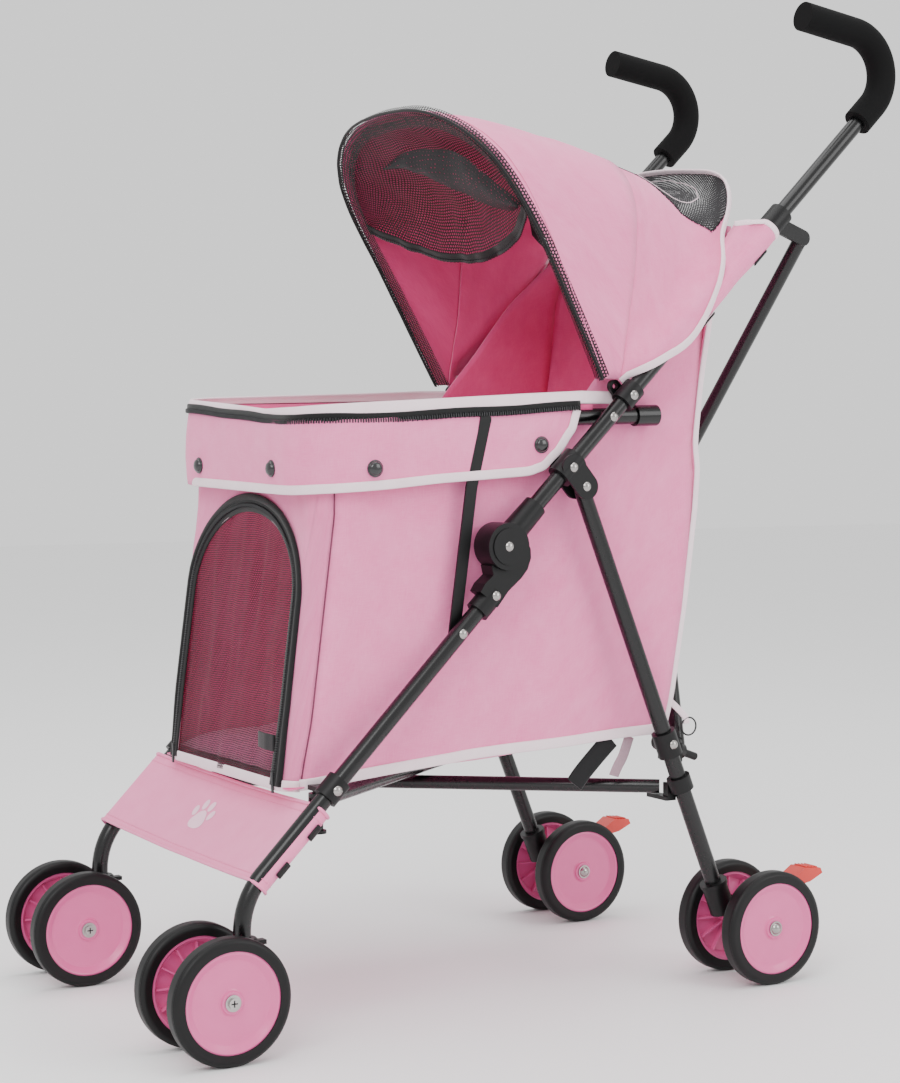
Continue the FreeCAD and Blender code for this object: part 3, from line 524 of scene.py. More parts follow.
def bag_pt(s, z, out=0.0, wrinkle=1.0):
    hw, yf = bag_half(z), bag_front_y(z)
    x, y, n = plan(s, hw, R_BAG, yf)
    p = P(x, y, z)
    # soft vertical folds, stronger low down and behind the corner
    q = abs(s)
    fold = 2.2 * math.sin(s * 0.045 + 1.3) * math.sin(z * 0.006) + 2.6 * wob((s, z * 0.35, 0), 0.013, 3.1) + 1.1 * wob((s, z, 0), 0.04, 7.7)
    fold *= wrinkle * step(q, 60, 170) * (1 - step(z, 540, 575)) * step(z, 232, 262)
    d = (out + min(fold, 2.2)) / 1000
    return p + Vector((n[0], n[1], 0.0)) * d, Vector((n[0], n[1], 0.0))


def arch_half(z):
    """Half-width of the doorway at a height along the front."""
    base = ramp(z, [(226, 118), (300, 121), (400, 120)])
    return base if z <= 400 else 120 * math.sqrt(max(0.0, 1 - ((z - 400) / 91.0) ** 2))


def arch_path(grow=0.0, z0=229.0):
    """Doorway outline as (s, z), from the foot at +s over the top to the foot at -s."""
    side = [(ramp(z, [(226, 118), (300, 121), (400, 120)]) + grow, z) for z in np.linspace(z0, 400, 26)]
    top = [((120 + grow) * math.cos(math.radians(t)), 400 + (91 + grow) * math.sin(math.radians(t))) for t in np.linspace(3, 177, 59)]
    return side + top + [(-s, z) for s, z in reversed(side)]


CORNER = lambda z: bag_half(z) - R_BAG + R_BAG * math.radians(60)
inner = arch_path(0.5)
nside, ntop = 26, 59
outer = [(1, z) for z in np.linspace(228, 560, nside)]
outer += [(1 - 2 * k / (ntop - 1), 577.0) for k in range(ntop)]
outer += [(-1, z) for _, z in reversed(outer[:nside])]
rows = []
for k in range(13):
    t = k / 12
    row = []
    for (si, zi), (f, zo) in zip(inner, outer):
        so = f * CORNER(zo)
        z = zi + (zo - zi) * t
        s = si + (so - si) * t
        row.append(bag_pt(s, z)[0])
    rows.append(row)
centre_in = P(0, 300, 400)
front = sheet_grid("bag_front_cloth", rows, [M["pink"], M["pink_painted_shade"]], centre=centre_in)
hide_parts("bag_front")

side_pieces = {}
for tag, g in (("left", 1), ("right", -1)):
    rows = []
    for i in range(40):
        f = i / 39
        row = []
        for j in range(34):
            h = j / 33
            # column line: from the corner seam to the rear edge
            y_top = 100 + f * 488
            z_bot = ramp(ramp(f, [(0, 105), (1, 518)]), BOTTOM)
            z_top = ramp(y_top, [(100, 577), (415, 577), (432, 600), (470, 640), (510, 690), (540, 722), (560, 745), (590, 765)])
            z = z_bot + (z_top - z_bot) * h
            s0 = CORNER(z)
            y0 = bag_front_y(z) + R_BAG
            s_end = bag_half(z) - R_BAG + R_BAG * math.pi / 2 + (ramp(z, [(k, v) for k, v in REAR]) - 9 - y0)
            p, _ = bag_pt(g * (s0 + (s_end - s0) * f), z)
            row.append(p)
        rows.append(row)
    o = sheet_grid("bag_side_cloth_" + tag, rows, [M["pink"], M["pink_painted_shade"]], centre=centre_in)
    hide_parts("bag_side_" + tag)
    side_pieces[tag] = o

# rear wall, rounded into the sides
rows = []
for z in np.linspace(256, 768, 36):
    yr = ramp(z, REAR)
    hw = bag_half(z) if z < 600 else 141.0 + 6 * step(z, 600, 700)
    row = []
    for k in range(45):
        f = -1 + 2 * k / 44
        s = f * (hw - 9 + 9 * math.pi / 2)
        a = hw - 9
        if abs(s) <= a:
            x, y = s, yr
            bulge = 5.0 * (1 - (s / a) ** 2) * math.sin(math.pi * min(1, max(0, (z - 256) / 500)))
            y += bulge + 1.6 * wob((s, z, 0), 0.02, 5.0)
        else:
            ph = (abs(s) - a) / 9
            x = math.copysign(a + 9 * math.sin(ph), s)
            y = yr - 9 + 9 * math.cos(ph)
        row.append(P(x, y, z))
    rows.append(row)
rear = sheet_grid("bag_rear_cloth", rows, [M["pink"], M["pink_painted_shade"]], centre=centre_in)
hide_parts("bag_rear")

# floor, sagging between its side seams
rows = []
for y in np.linspace(92, 516, 40):
    zb = ramp(y, BOTTOM)
    sag = 15.0 * max(0.0, math.sin(math.pi * (y - 92) / 424)) ** 1.4
    row = []
    for k in range(31):
        f = -1 + 2 * k / 30
        x = f * 141.0
        row.append(P(x, y, zb + 1.0 - sag * (1 - f ** 4) + 0.8 * wob((x, y, 0), 0.03, 2.0) * (1 - f ** 4)))
    rows.append(row)
floor_cloth = sheet_grid("bag_floor_cloth", rows, [M["pink"], M["pink_painted_shade"]], direction=Vector((0, 0, -1)))
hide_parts("bag_floor")


def path_on(fn, keys, out=0.0, gap=None):
    pts, nor = [], []
    for s, z in keys:
        p, n = fn(s, z, out)
        pts.append(p); nor.append(n)
    return pts, nor


def lerp_keys(keys, n):
    out = []
    for (a, b), (c, d) in zip(keys, keys[1:]):
        for k in range(n):
            out.append((a + (c - a) * k / n, b + (d - b) * k / n))
    return out + [keys[-1]]


# bottom binding of the cabin: along the front and down both sides
BIND = oval(10.5, 2.6, 14, 3.0)
front_bind = [(s, 230.0) for s in np.linspace(-CORNER(230), CORNER(230), 50)]
pts, nor = path_on(bag_pt, front_bind, 1.0)
bind_front = strip("bag_front_binding", pts, BIND, M["bind"], nor)
side_extra = {"left": [], "right": []}
for tag, g in (("left", 1), ("right", -1)):
    keys = []
    for k in range(60):
        f = k / 59
        y = 104 + (512 - 104) * f
        z = ramp(y, BOTTOM) + 4.0
        s = bag_half(z) - R_BAG + R_BAG * math.pi / 2 + (y - bag_front_y(z) - R_BAG)
        s = max(s, CORNER(z))
        keys.append((g * s, z))
    pts, nor = path_on(bag_pt, keys, 1.0)
    side_extra[tag].append(strip("bag_bottom_binding_" + tag, pts, BIND, M["bind"], nor))
    # rear upright binding
    pts = [P(g * (bag_half(z) if z < 560 else 141.0 + 6 * step(z, 600, 700)) + g * 1.2, ramp(z, REAR) - 6, z) for z in np.linspace(258, 760, 60)]
    side_extra[tag].append(strip("bag_rear_binding_" + tag, pts, oval(6.5, 2.2, 12, 3.0), M["bind"], [Vector((g, 0, 0))] * 60))
    # corner seam
    keys = [(g * (CORNER(z) + 1), z) for z in np.linspace(233, 566, 60)]
    pts, nor = path_on(bag_pt, keys, 0.25)
    side_extra[tag].append(strip("corner_seam_" + tag, pts, oval(1.3, 0.9, 8), M["seam"], nor))

# ---- mesh door with its zip -----------------------------------------------------------------------------------
def door_pt(s, z, out=0.0):
    p, n = bag_pt(s, z, 0.0, 0.0)
    wr = 5.2 * wob((s, z * 0.3, 0), 0.028, 1.7) + 2.6 * wob((s * 1.5, z * 0.3, 0), 0.05, 9.1)
    edge = 1 - abs(s) / max(arch_half(min(z, 490)), 1)
    wr *= min(1.0, max(0.0, edge) * 4)
    return p + n * ((out + wr) / 1000), n


rows = []
for k in range(49):
    t = k / 48
    z = 231 + (488.0 - 231) * t
    hw = max(arch_half(z) - 3.0, 8.0)
    rows.append([door_pt(hw * f, z, 0.3)[0] for f in np.linspace(-1, 1, 45)])
door = sheet_grid("door_net_panel", rows, [M["net_door"]], thick=0.0, direction=Vector((0, -1, 0)))
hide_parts("front_door")


def arch_strip(name, grow, section, mat, out, z0=229.0):
    keys = arch_path(grow, z0)
    pts, nor = path_on(lambda s, z, o: (lambda r: (r[0] + r[1] * (o / 1000), r[1]))(bag_pt(s, z, 0.0, 0.0)), keys, out)
    return strip(name, pts, section, mat, nor), pts, nor


zip_door, zp, zn = arch_strip("door_zip_tape", -2.5, oval(17.0, 2.2, 12, 3.0), M["zip_tape"], 1.8)
zip_cover, _, _ = arch_strip("door_zip_welt", 4.0, oval(7.0, 4.4, 12, 2.2), M["zip_tape"], 2.4)
dense = resample(zp, 0.004)
zt, ztp, ztn = arch_strip("door_zip_guide", -4.0, oval(1.8, 1.4, 8), M["zip_tape"], 3.0)
door_teeth = teeth("door_zip_teeth", ztp, ztn, M["zip_teeth"], width=0.0046, gap=0.0023)
# seam where the net joins its tape
door_seam, _, _ = arch_strip("door_net_seam", -9.6, oval(1.4, 0.8, 8), M["elastic"], 1.4, 236.0)
door_parts = [zip_door, zt, door_teeth, door_seam]
# short tab of webbing on the door's near edge, near the foot
tab_keys = [(s, 268.0) for s in np.linspace(112, 74, 12)]
pts, nor = path_on(lambda s, z, o: door_pt(s, z, o), tab_keys, 3.6)
tab = strip("door_tie_tab", pts, oval(16.0, 1.8, 12, 5.0), M["web"], nor)
door_parts.append(tab)
# zip pulls at both feet
pulls = []
for g in (1, -1):
    p, n = bag_pt(g * 114.5, 236, 0.0, 0.0)
    base = p + n * 0.0042
    path = [base + Vector((0, 0, 0.006)), base, base + Vector((g * 0.0004, 0, -0.007)), base + Vector((g * 0.0006, 0.0003, -0.0135))]
    path = spline(path, 6)
    pulls.append(strip("door_zip_pull_%s" % ("a" if g > 0 else "b"), path, oval(4.2, 1.6, 12, 3.5), M["zip_teeth"], [n] * len(path)))
door_parts += pulls

# ---- flap folded over the rim ---------------------------------------------------------------------------------
FH, FR, FY = 161.0, 55.0, 106.0
SIDE0 = FH - FR + FR * math.pi / 2


def s_of_y(y):
    return SIDE0 + y - (FY + FR)


ZIP_Z = [(-427, 591), (-361, 589), (-272, 587), (-182, 585), (-140, 583), (-48, 578.3), (0, 575), (58.7, 570.7), (119, 569.3), (182, 570.4), (272, 574.7), (361, 580.1), (427, 583.6)]
LIFT = [(-427, 10), (-182, 7), (-60, 6), (60, 6.5), (119, 9), (182, 12), (272, 12.5), (427, 12)]
FOOT = [(-425, 583), (-417, 562), (-400, 538), (-385, 523), (-368, 517), (-314, 514), (-271, 511), (-215, 508), (-165, 506), (-13, 502.8), (60, 501), (118, 500), (165, 502.5), (215, 505.7), (271, 510.8), (314, 513.3),
        (368, 516.7), (385, 522), (400, 536), (417, 560), (425, 580)]


def flap_pt(s, z, out=0.0):
    h = (z - 500) / 80.0
    # bellies out a little between the rim and its lower edge
    belly = 3.5 * math.sin(math.pi * min(1, max(0, h))) + 1.5 * (1 - h)
    fold = 1.8 * wob((s, z * 0.5, 0), 0.016, 11.0) + 0.8 * wob((s, z, 0), 0.05, 4.4)
    hw = FH - 1.2
    x, y, n = plan(s, hw, FR, FY + 1.5)
    lim = 2.4 if abs(s) > 225 else 9.0
    d = min(belly + fold, lim) + out
    nn = Vector((n[0], n[1], 0.0))
    return P(x, y, z) + nn * (d / 1000), nn


cols = sorted(set([round(v, 3) for v in np.linspace(-425, 425, 121)]) | {-417.0, -400.0, -392.0, -385.0, -376.0, 376.0, 385.0, 392.0, 400.0, 417.0})
rows = []
for k in range(15):
    t = k / 14
    row = []
    for s in cols:
        zb, zt_ = ramp(s, FOOT), ramp(s, ZIP_Z) - 1.0
        row.append(flap_pt(s, zb + (zt_ - zb) * t)[0])
    rows.append(row)
flap = sheet_grid("flap_cloth", rows, [M["pink"], M["pink_painted_shade"]], centre=P(0, 300, 540))
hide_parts("front_flap")
foot_keys = []
for a, b in zip(FOOT, FOOT[1:]):
    for k in range(6):
        foot_keys.append((a[0] + (b[0] - a[0]) * k / 6, a[1] + (b[1] - a[1]) * k / 6 + 3.5 * (1 - step(abs(a[0]), 385, 417))))
foot_keys.append((FOOT[-1][0], FOOT[-1][1]))
pts, nor = path_on(flap_pt, foot_keys, 0.8)
pts = [pts[0]] + [(a + b * 2 + c) / 4 for a, b, c in zip(pts, pts[1:], pts[2:])] + [pts[-1]]
flap_bind = strip("flap_binding", pts, oval(9.0, 2.6, 14, 3.0), M["bind"], nor)


def rim_pt(s, z, out=0.0):
    x, y, n = plan(s, FH - 3.5, FR - 2, FY + 4.0)
    nn = Vector((n[0], n[1], 0.0))
    return P(x, y, z) + nn * (out / 1000), nn


zip_keys = [(s, ramp(s, ZIP_Z) + 0.6 * math.sin(s * 0.05)) for s in np.linspace(-424, 424, 200)]
pts, nor = path_on(rim_pt, zip_keys, 3.6)
rim_zip = strip("rim_zip_tape", pts, oval(9.5, 1.8, 12, 3.0), M["zip_tape"], nor)
pts2, nor2 = path_on(rim_pt, [(s, z - 2.4) for s, z in zip_keys], 4.6)
rim_teeth = teeth("rim_zip_teeth", pts2, nor2, M["zip_teeth"], width=0.0052, gap=0.0026, high=0.0015)
top_keys = [(s, ramp(s, ZIP_Z) + ramp(s, LIFT) * 0.5 + 2.6) for s in np.linspace(-470, 470, 200)]
rows = []
for t in np.linspace(0, 1, 7):
    row = []
    for s, _ in top_keys:
        z0, z1 = ramp(s, ZIP_Z) + 2.2, ramp(s, ZIP_Z) + 2.2 + ramp(s, LIFT)
        bend = -2.2 * t * t + 0.9 * wob((s, 10 * t, 0), 0.02, 8.0)
        pull = -8.0 * step(abs(s), 420, 470)
        row.append(rim_pt(s, z0 + (z1 - z0) * t, 2.2 + bend + pull)[0])
    rows.append(row)
rim_bind = sheet_grid("rim_binding", rows, [M["bind"]], thick=0.0026, centre=P(0, 300, 580), inner=False)
rim_bind.modifiers["thickness"].offset = 0

# shoulder cloth that closes the gap between the cabin wall and the rim, all in the deeper pink of painted shade
rows = []
for t in np.linspace(0, 1, 6):
    row = []
    for s in np.linspace(-440, 440, 121):
        a, na = rim_pt(s, ramp(s, ZIP_Z) + 1.5, 0.8)
        x, y, n = plan(s * 0.97, 141.5, R_BAG + 8, 125.0)
        b = P(x, y, 574)
        q = a.lerp(b, t)
        row.append(q - Vector((0, 0, 0.004)) * math.sin(math.pi * t))
    rows.append(row)
ledge = sheet_grid("rim_shoulder_painted_shade", rows, [M["pink_painted_shade"]], thick=0.0012, direction=Vector((0, 0, 1)), inner=False)

snaps = []
SNAP = [(8.2, -0.4), (8.2, 0.5), (7.6, 1.1), (7.0, 0.9), (6.8, 0.9), (6.6, 2.2), (5.6, 3.4), (4.0, 4.2), (2.0, 4.6), (0.1, 4.7)]
for k, (s, z) in enumerate([(-82, 524.5), (84, 523.5), (s_of_y(167), 524), (s_of_y(351), 545.6), (-s_of_y(167), 526), (-s_of_y(351), 548)]):
    p, n = flap_pt(s, z, 0.6)
    snaps.append(turned("flap_snap_%d" % (k + 1), SNAP, p, n, M["gloss"], 32))

# ---- floor mat ------------------------------------------------------------------------------------------------
def pad(name, hw, y0, y1, z_of, high, mat, rad=22.0):
    """Quilted pad: crowned between its edges, with sewn channels across."""
    nu, nv = 49, 61
    verts, flat, faces = [], [], []
    for layer in (1, -1):
        for j in range(nv):
            y = y0 + (y1 - y0) * j / (nv - 1)
            for i in range(nu):
                x = -hw + 2 * hw * i / (nu - 1)
                ex, ey = 1 - abs(x) / hw, 1 - abs(2 * (y - y0) / (y1 - y0) - 1)
                crown = (1 - (1 - min(1, ex * 4)) ** 2.4) ** 0.5 * (1 - (1 - min(1, ey * 6)) ** 2.4) ** 0.5
                quilt = 0.72 + 0.28 * abs(math.sin(math.pi * (y - y0) / ((y1 - y0) / 5)))  ** 0.5
                top = high * crown * quilt
                z = z_of(y) + (top if layer > 0 else 0.6 * (1 - crown))
                verts.append(P(x, y, z))
                flat.append((x / 1000, y / 1000, 0))
    for j in range(nv - 1):
        for i in range(nu - 1):
            a = j * nu + i
            faces.append((a, a + 1, a + nu + 1, a + nu))
            b = nu * nv + a
            faces.append((b, b + nu, b + nu + 1, b + 1))
    rim = [i for i in range(nu)] + [j * nu + nu - 1 for j in range(1, nv)] + [(nv - 1) * nu + i for i in range(nu - 2, -1, -1)] + [j * nu for j in range(nv - 2, 0, -1)]
    for a, b in zip(rim, rim[1:] + rim[:1]):
        faces.append((a, a + nu * nv, b + nu * nv, b))
    o = make(name, verts, faces, [mat], flat)
    bm = bmesh.new(); bm.from_mesh(o.data)
    bmesh.ops.remove_doubles(bm, verts=bm.verts, dist=1e-6)
    bmesh.ops.recalc_face_normals(bm, faces=bm.faces)
    bm.to_mesh(o.data); bm.free()
    return o


mat_pad = pad("floor_mat_pad", 130.0, 102, 505, lambda y: 237.5 + (y - 98) * 0.0697, 13.0, M["mat"])
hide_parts("floor_mat")

# ---- footrest sling -------------------------------------------------------------------------------------------
NF = Vector((0, -0.712, 0.702))
SL_TOP, SL_LOW = (105.0, 214.4), (41.5, 150.5)


def sling_pt(u, t, out=0.0):
    """u runs across, in millimetres of cloth from the middle; t from the upper to the lower edge."""
    R = 9.4
    skew = 3.0 * (u / 180.0)
    y = SL_TOP[0] + (SL_LOW[0] - SL_TOP[0]) * t + skew * (1 - 0.3 * t)
    z = SL_TOP[1] + (SL_LOW[1] - SL_TOP[1]) * t - skew
    q, g = abs(u), (1 if u >= 0 else -1)
    if q <= 171:
        f = q / 171
        sag = -8.0 * (1 - f ** 2) * (0.75 + 0.25 * math.sin(math.pi * t)) + 1.2 * wob((u, 60 * t, 0), 0.018, 6.0) * (1 - f ** 4)
        n = R + sag
        x = u
        nor = NF.copy()
    else:
        ph = (q - 171) / R
        n = R * math.cos(ph)
        x = g * (171 + R * math.sin(ph))
        nor = NF * math.cos(ph) + Vector((g, 0, 0)) * math.sin(ph)
    return P(x, y, z) + NF * (n / 1000) + nor * (out / 1000), nor


wrap = 171 + 9.4 * math.radians(150)
us = list(np.linspace(-wrap, -171, 10)) + list(np.linspace(-171, 171, 61))[1:-1] + list(np.linspace(171, wrap, 10))
rows = [[sling_pt(u, t)[0] for u in us] for t in np.linspace(0, 1, 25)]
sling = sheet_grid("sling_cloth", rows, [M["pink_sling"]], thick=0.0012, direction=NF, inner=False)
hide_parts("footrest_sling")
sling_bits = []
for k, t in enumerate((0.0, 0.985)):
    pts = [sling_pt(u, t, 0.4)[0] for u in np.linspace(-wrap, wrap, 80)]
    nor = [sling_pt(u, t)[1] for u in np.linspace(-wrap, wrap, 80)]
    sling_bits.append(strip("sling_hem_%d" % (k + 1), pts, oval(3.4, 2.6, 10), M["pink_sling"], nor))
for k, t in enumerate((0.10, 0.91)):
    pts = [sling_pt(u, t, 0.25)[0] for u in np.linspace(-wrap, wrap, 80)]
    nor = [sling_pt(u, t)[1] for u in np.linspace(-wrap, wrap, 80)]
    sling_bits.append(strip("sling_stitch_%d" % (k + 1), pts, oval(0.9, 0.5, 6), M["pink"], nor))
# plain paw print: one rounded pad and four round toes
def blob(name, cu, ct, a, b, rot, lobes=0.0):
    seg, rings = 36, 4
    verts, faces, flat = [], [], []
    L = math.hypot(SL_TOP[0] - SL_LOW[0], SL_TOP[1] - SL_LOW[1])
    for r in range(rings + 1):
        for i in range(seg):
            th = 2 * math.pi * i / seg
            k = r / rings
            rr = 1 + lobes * math.cos(3 * th + math.pi / 2)
            du, dv = a * rr * k * math.cos(th), b * rr * k * math.sin(th)
            du, dv = du * math.cos(rot) - dv * math.sin(rot), du * math.sin(rot) + dv * math.cos(rot)
            verts.append(sling_pt(cu + du, ct - dv / L, 0.35)[0])
            flat.append((du / 1000, dv / 1000, 0))
    for r in range(rings):
        for i in range(seg):
            x, y = r * seg + i, r * seg + (i + 1) % seg
            faces.append((x, y, y + seg, x + seg))
    o = make(name, verts, faces, [M["print"]], flat)
    bm = bmesh.new(); bm.from_mesh(o.data)
    bmesh.ops.remove_doubles(bm, verts=bm.verts, dist=1e-7)
    bm.to_mesh(o.data); bm.free()
    face_out(o, direction=NF)
    return o


paw = [blob("print_pad", -12, 0.56, 13.5, 11, 0.0, 0.10)]
for k, (du, dv, r) in enumerate(((-17, 9, 0.35), (-6.5, 18, 0.12), (6.5, 18, -0.12), (17, 9, -0.35))):
    paw.append(blob("print_toe_%d" % (k + 1), -12 + du, 0.56 - dv / 90.0, 4.6, 6.2, r))
# small black clips on the wrapped edges
for g in (1, -1):
    for k, t in enumerate((0.13, 0.62)):
        base = [sling_pt(g * (171 + 9.4 * math.radians(118)), t + d, 1.5)[0] for d in np.linspace(0, 0.17, 6)]
        nor = [sling_pt(g * (171 + 9.4 * math.radians(118)), t)[1]] * 6
        sling_bits.append(strip("sling_clip_%s_%d" % ("left" if g > 0 else "right", k + 1), base, oval(7.0, 3.0, 12, 4.0), M["plastic"], nor))

# ---- canopy ---------------------------------------------------------------------------------------------------
HY, HZ = 441.0, 603.0
SHARE = [0.02, 0.15, 0.30, 0.48, 0.60, 0.70, 0.77, 0.82, 0.87, 0.91, 0.945, 0.97, 0.99, 1.0]
HALF_F = [160, 163, 164.5, 164.5, 164, 161, 154, 146, 134, 119, 99, 77, 44, 0]
HALF_M = [166, 165, 164, 163.5, 161.5, 157, 150, 142, 130, 114, 92, 68, 38, 0]
HALF_R = [166, 165, 164, 163.5, 163, 162, 161, 160, 155.5, 148, 135, 112, 64, 0]
SHAPE_F = list(zip(SHARE, HALF_F))
NHALF = 26


def rib_shape(v):
    """Half outline as (r, x) for a rib: front hoop at v 0, rounder in the middle, squarer at the rear edge."""
    a = step(v, 0.1, 0.74)
    b = step(v, 0.74, 1.0)
    return [(r, (f * (1 - a) + m * a) * (1 - b) + q * b) for r, f, m, q in zip(SHARE, HALF_F, HALF_M, HALF_R)]


def tube_push(y, z):
    """Extra outward room where the cloth passes over the push tube."""
    d = (z - (471.4 + (y - 325) * 0.9896)) * 0.711
    return 20.0 * (1 - step(d, 9, 34))


def rear_edge(r, rmax):
    """Angle of the rear edge at a distance r from the pivot: it drops towards the push tube low down."""
    return ramp(r, [(0, 60), (12, 50), (36, 36), (70, 31.6), (88, 31.5), (120, 37.5), (165, 45.5), (200, 50), (232, 52.9), (262, 55.5), (280, 57.2)])


def hood_curve(v, grow=0.0):
    """One rib of the hood, from the near base up to the ridge; rib_points mirrors it to the far base. v: 0 at the hoop,
    1 at the rear edge.
    """
    deg = ramp(v, [(0, 122.3), (0.18, 114.5), (0.34, 107), (0.5, 99), (0.62, 88), (0.74, 76), (0.87, 66), (1.0, 57.2)])
    rmax = ramp(v, [(0, 322), (0.09, 309), (0.18, 299), (0.34, 280), (0.5, 264), (0.62, 246), (0.74, 245), (0.87, 256), (1.0, 277)])
    shape = rib_shape(v)
    pts = spline([Vector((x, r * rmax, 0)) for r, x in shape], 3)
    out = []
    for q in pts:
        x, r = q.x, q.y
        th = deg
        blend_low = step(v, 0.45, 1.0)
        th = deg * (1 - blend_low) + rear_edge(r, rmax) * blend_low if v > 0.45 else deg
        a = math.radians(th)
        y, z = HY + r * math.cos(a), HZ + r * math.sin(a)
        y -= 12 * max(0.0, 1 - r / 160) * (1 - step(v, 0.0, 0.45))
        x = x + tube_push(y, z) * step(v, 0.3, 0.75) * step(x, 120, 160) * step(r, 8, 34)
        out.append((x + (grow if x > 100 else grow * x / 100), y, z, r, rmax, a))
    return out


def rib_points(v, grow=0.0, sag=True):
    half = hood_curve(v)
    near = []
    for x, y, z, r, rmax, a in half:
        k = r / rmax
        g = grow * (0.4 + 0.6 * k) if k > 0.3 else grow * 0.6
        # cloth slumps slightly between the hoop and the rear
        dip = 3.5 * math.sin(math.pi * min(1, max(0, v))) * step(k, 0.35, 0.8) * (1 if sag else 0)
        wr = 2.0 * wob((x + 400, y, z), 0.013, 2.2) + 0.9 * wob((x, y, z), 0.04, 5.2)
        rr = g - dip + wr * step(k, 0.1, 0.4)
        yy, zz = y + math.cos(a) * rr, z + math.sin(a) * rr
        xx = x + (g + 0.9 * wr) * (1 - step(k, 0.8, 0.98)) * (1 if x > 1 else 0)
        near.append((xx, yy, zz))
    far = []
    for (xx, yy, zz) in reversed(near[:-1]):
        far.append((-xx, yy, zz))
    return [P(*p) for p in near + far]


hood_c = P(0, 430, 660)
rows = [rib_points(v, 3.2) for v in np.linspace(0.018, 0.60, 25)]
hood_front = sheet_grid("hood_front_cloth", rows, [M["pink"], M["pink_painted_shade"]], centre=hood_c)
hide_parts("canopy_front")

# rear part: pink sides and a net window in the top
WIN = [(52, 160), (58, 159.5), (66, 154.5), (76, 140), (86, 108), (88.5, 60)]
vs_rear = list(np.linspace(0.585, 0.615, 7)) + list(np.linspace(0.615, 0.995, 22))[1:]
rows, marks = [], []
for v in vs_rear:
    pts = rib_points(v, 0.0)
    n = (len(pts) + 1) // 2
    half = pts[:n]
    deg = ramp(v, [(0.5, 99), (0.62, 88), (0.74, 76), (0.87, 66), (1.0, 57.2)])
    xw = ramp(deg, WIN) / 1000
    # split the half rib where it crosses the window's edge
    split = next((i for i in range(n - 1, 0, -1) if half[i].x >= xw and half[i].z > P(0, 0, 700).z), n // 2)
    a, b = half[:split + 1], half[split:]
    if split + 1 < n:
        p, q = half[split], half[split + 1]
        t = min(1, max(0, (p.x - xw) / max(p.x - q.x, 1e-9)))
        w = p.lerp(q, t)
        a = half[:split + 1] + [w]
        b = [w] + half[split + 1:]

    def even(poly, m):
        d = [0.0]
        for s0, s1 in zip(poly, poly[1:]):
            d.append(d[-1] + (s1 - s0).length)
        out, j = [], 0
        for i in range(m):
            s = d[-1] * i / (m - 1)
            while j < len(poly) - 2 and d[j + 1] < s:
                j += 1
            out.append(poly[j].lerp(poly[j + 1], min(1, max(0, (s - d[j]) / max(d[j + 1] - d[j], 1e-9)))))
        return out
    hp = even(a, 26) + even(b, 22)[1:]
    marks.append(hp[25])
    rows.append(hp + [Vector((-p.x, p.y, p.z)) for p in reversed(hp[:-1])])
nc = len(rows[0])


def rear_index(i, j):
    return 1 if i >= 6 and 25 <= j < nc - 1 - 25 else 0


hood_rear = sheet_grid("hood_rear_cloth", rows, [M["pink"], M["net_fine"], M["pink_painted_shade"], M["net_fine"]], centre=hood_c, index=rear_index)
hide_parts("canopy_rear")
hood_bits, front_bits = [], []


def nrm_at(pts, centre):
    return [(p - centre).normalized() for p in pts]


rear_rim = rows[-1]
hood_bits.append(strip("hood_rear_binding", rear_rim, oval(8.5, 3.0, 14, 2.6), M["bind"], nrm_at(rear_rim, hood_c)))
near_edge = marks[6:]
for g, tag in ((1, "left"), (-1, "right")):
    e = [Vector((g * p.x, p.y, p.z)) for p in near_edge]
    hood_bits.append(strip("window_edge_" + tag, e, oval(3.2, 1.6, 10), M["net_hood"], nrm_at(e, hood_c)))
cross = rows[6][25:nc - 25]
hood_bits.append(strip("window_front_edge", cross, oval(3.0, 1.6, 10), M["net_hood"], nrm_at(cross, hood_c)))
# white stitched arc near the window's rear end
arc = []
for f in np.linspace(-1, 1, 60):
    i = 8 + int(round((len(rows) - 1 - 8 - 3) * (1 - abs(f) ** 3.0)))
    row = rows[min(i, len(rows) - 3)]
    j = 25 + int(round((nc - 51) * (f + 1) / 2))
    arc.append(row[j])
arc = [arc[0]] + [(a + b * 2 + c) / 4 for a, b, c in zip(arc, arc[1:], arc[2:])] + [arc[-1]]
arc = [p + (p - hood_c).normalized() * 0.0012 for p in arc]
hood_bits.append(strip("window_stitch_arc", arc, oval(1.3, 0.8, 8), M["stitch"], nrm_at(arc, hood_c)))

# black net hem round the hoop, and the hoop's wire in it
hoop = rib_points(0.0, 2.4)
a = math.radians(122.3)
U = Vector((0, math.cos(a), math.sin(a)))
FWD = Vector((0, -math.sin(a), math.cos(a)))
hem_rows = []
inn = []
piv = P(0, HY, HZ)
for p in hoop:
    rel = p - piv
    radial = Vector((rel.x, 0, 0)) * 0.9 + U * max(rel.dot(U), 0) * 0.75
    radial = radial.normalized()
    inn.append(radial)
for t in np.linspace(0, 1, 9):
    row = []
    for p, rd in zip(hoop, inn):
        if t < 0.3:      # over the outside, from the casing's edge to the wire
            f = t / 0.3
            q = p + FWD * 0.001 - FWD * 0.009 * (1 - f) + rd * 0.0012
        elif t < 0.5:    # round the wire
            f = (t - 0.3) / 0.2
            q = p + FWD * 0.0035 * math.sin(math.pi * f) - rd * 0.005 * f
        else:            # inside, running back and in
            f = (t - 0.5) / 0.5
            q = p - rd * (0.005 + 0.015 * f) - FWD * 0.004 * f
        row.append(q)
    hem_rows.append(row)
hem = sheet_grid("hoop_hem_net", hem_rows, [M["net_hood"]], thick=0.0)
front_bits.append(hem)
piping = strip("hoop_edge_tape", [p + FWD * 0.0012 + rd * 0.0006 for p, rd in zip(hoop, inn)], oval(3.0, 3.0, 10), M["web"], inn)
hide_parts("canopy_hoop")
front_bits.append(piping)
casing = []
for v in (0.075,):
    row = rib_points(v, 3.9)
    front_bits.append(strip("casing_stitch", row, oval(1.0, 0.6, 6), M["pink"], nrm_at(row, hood_c)))

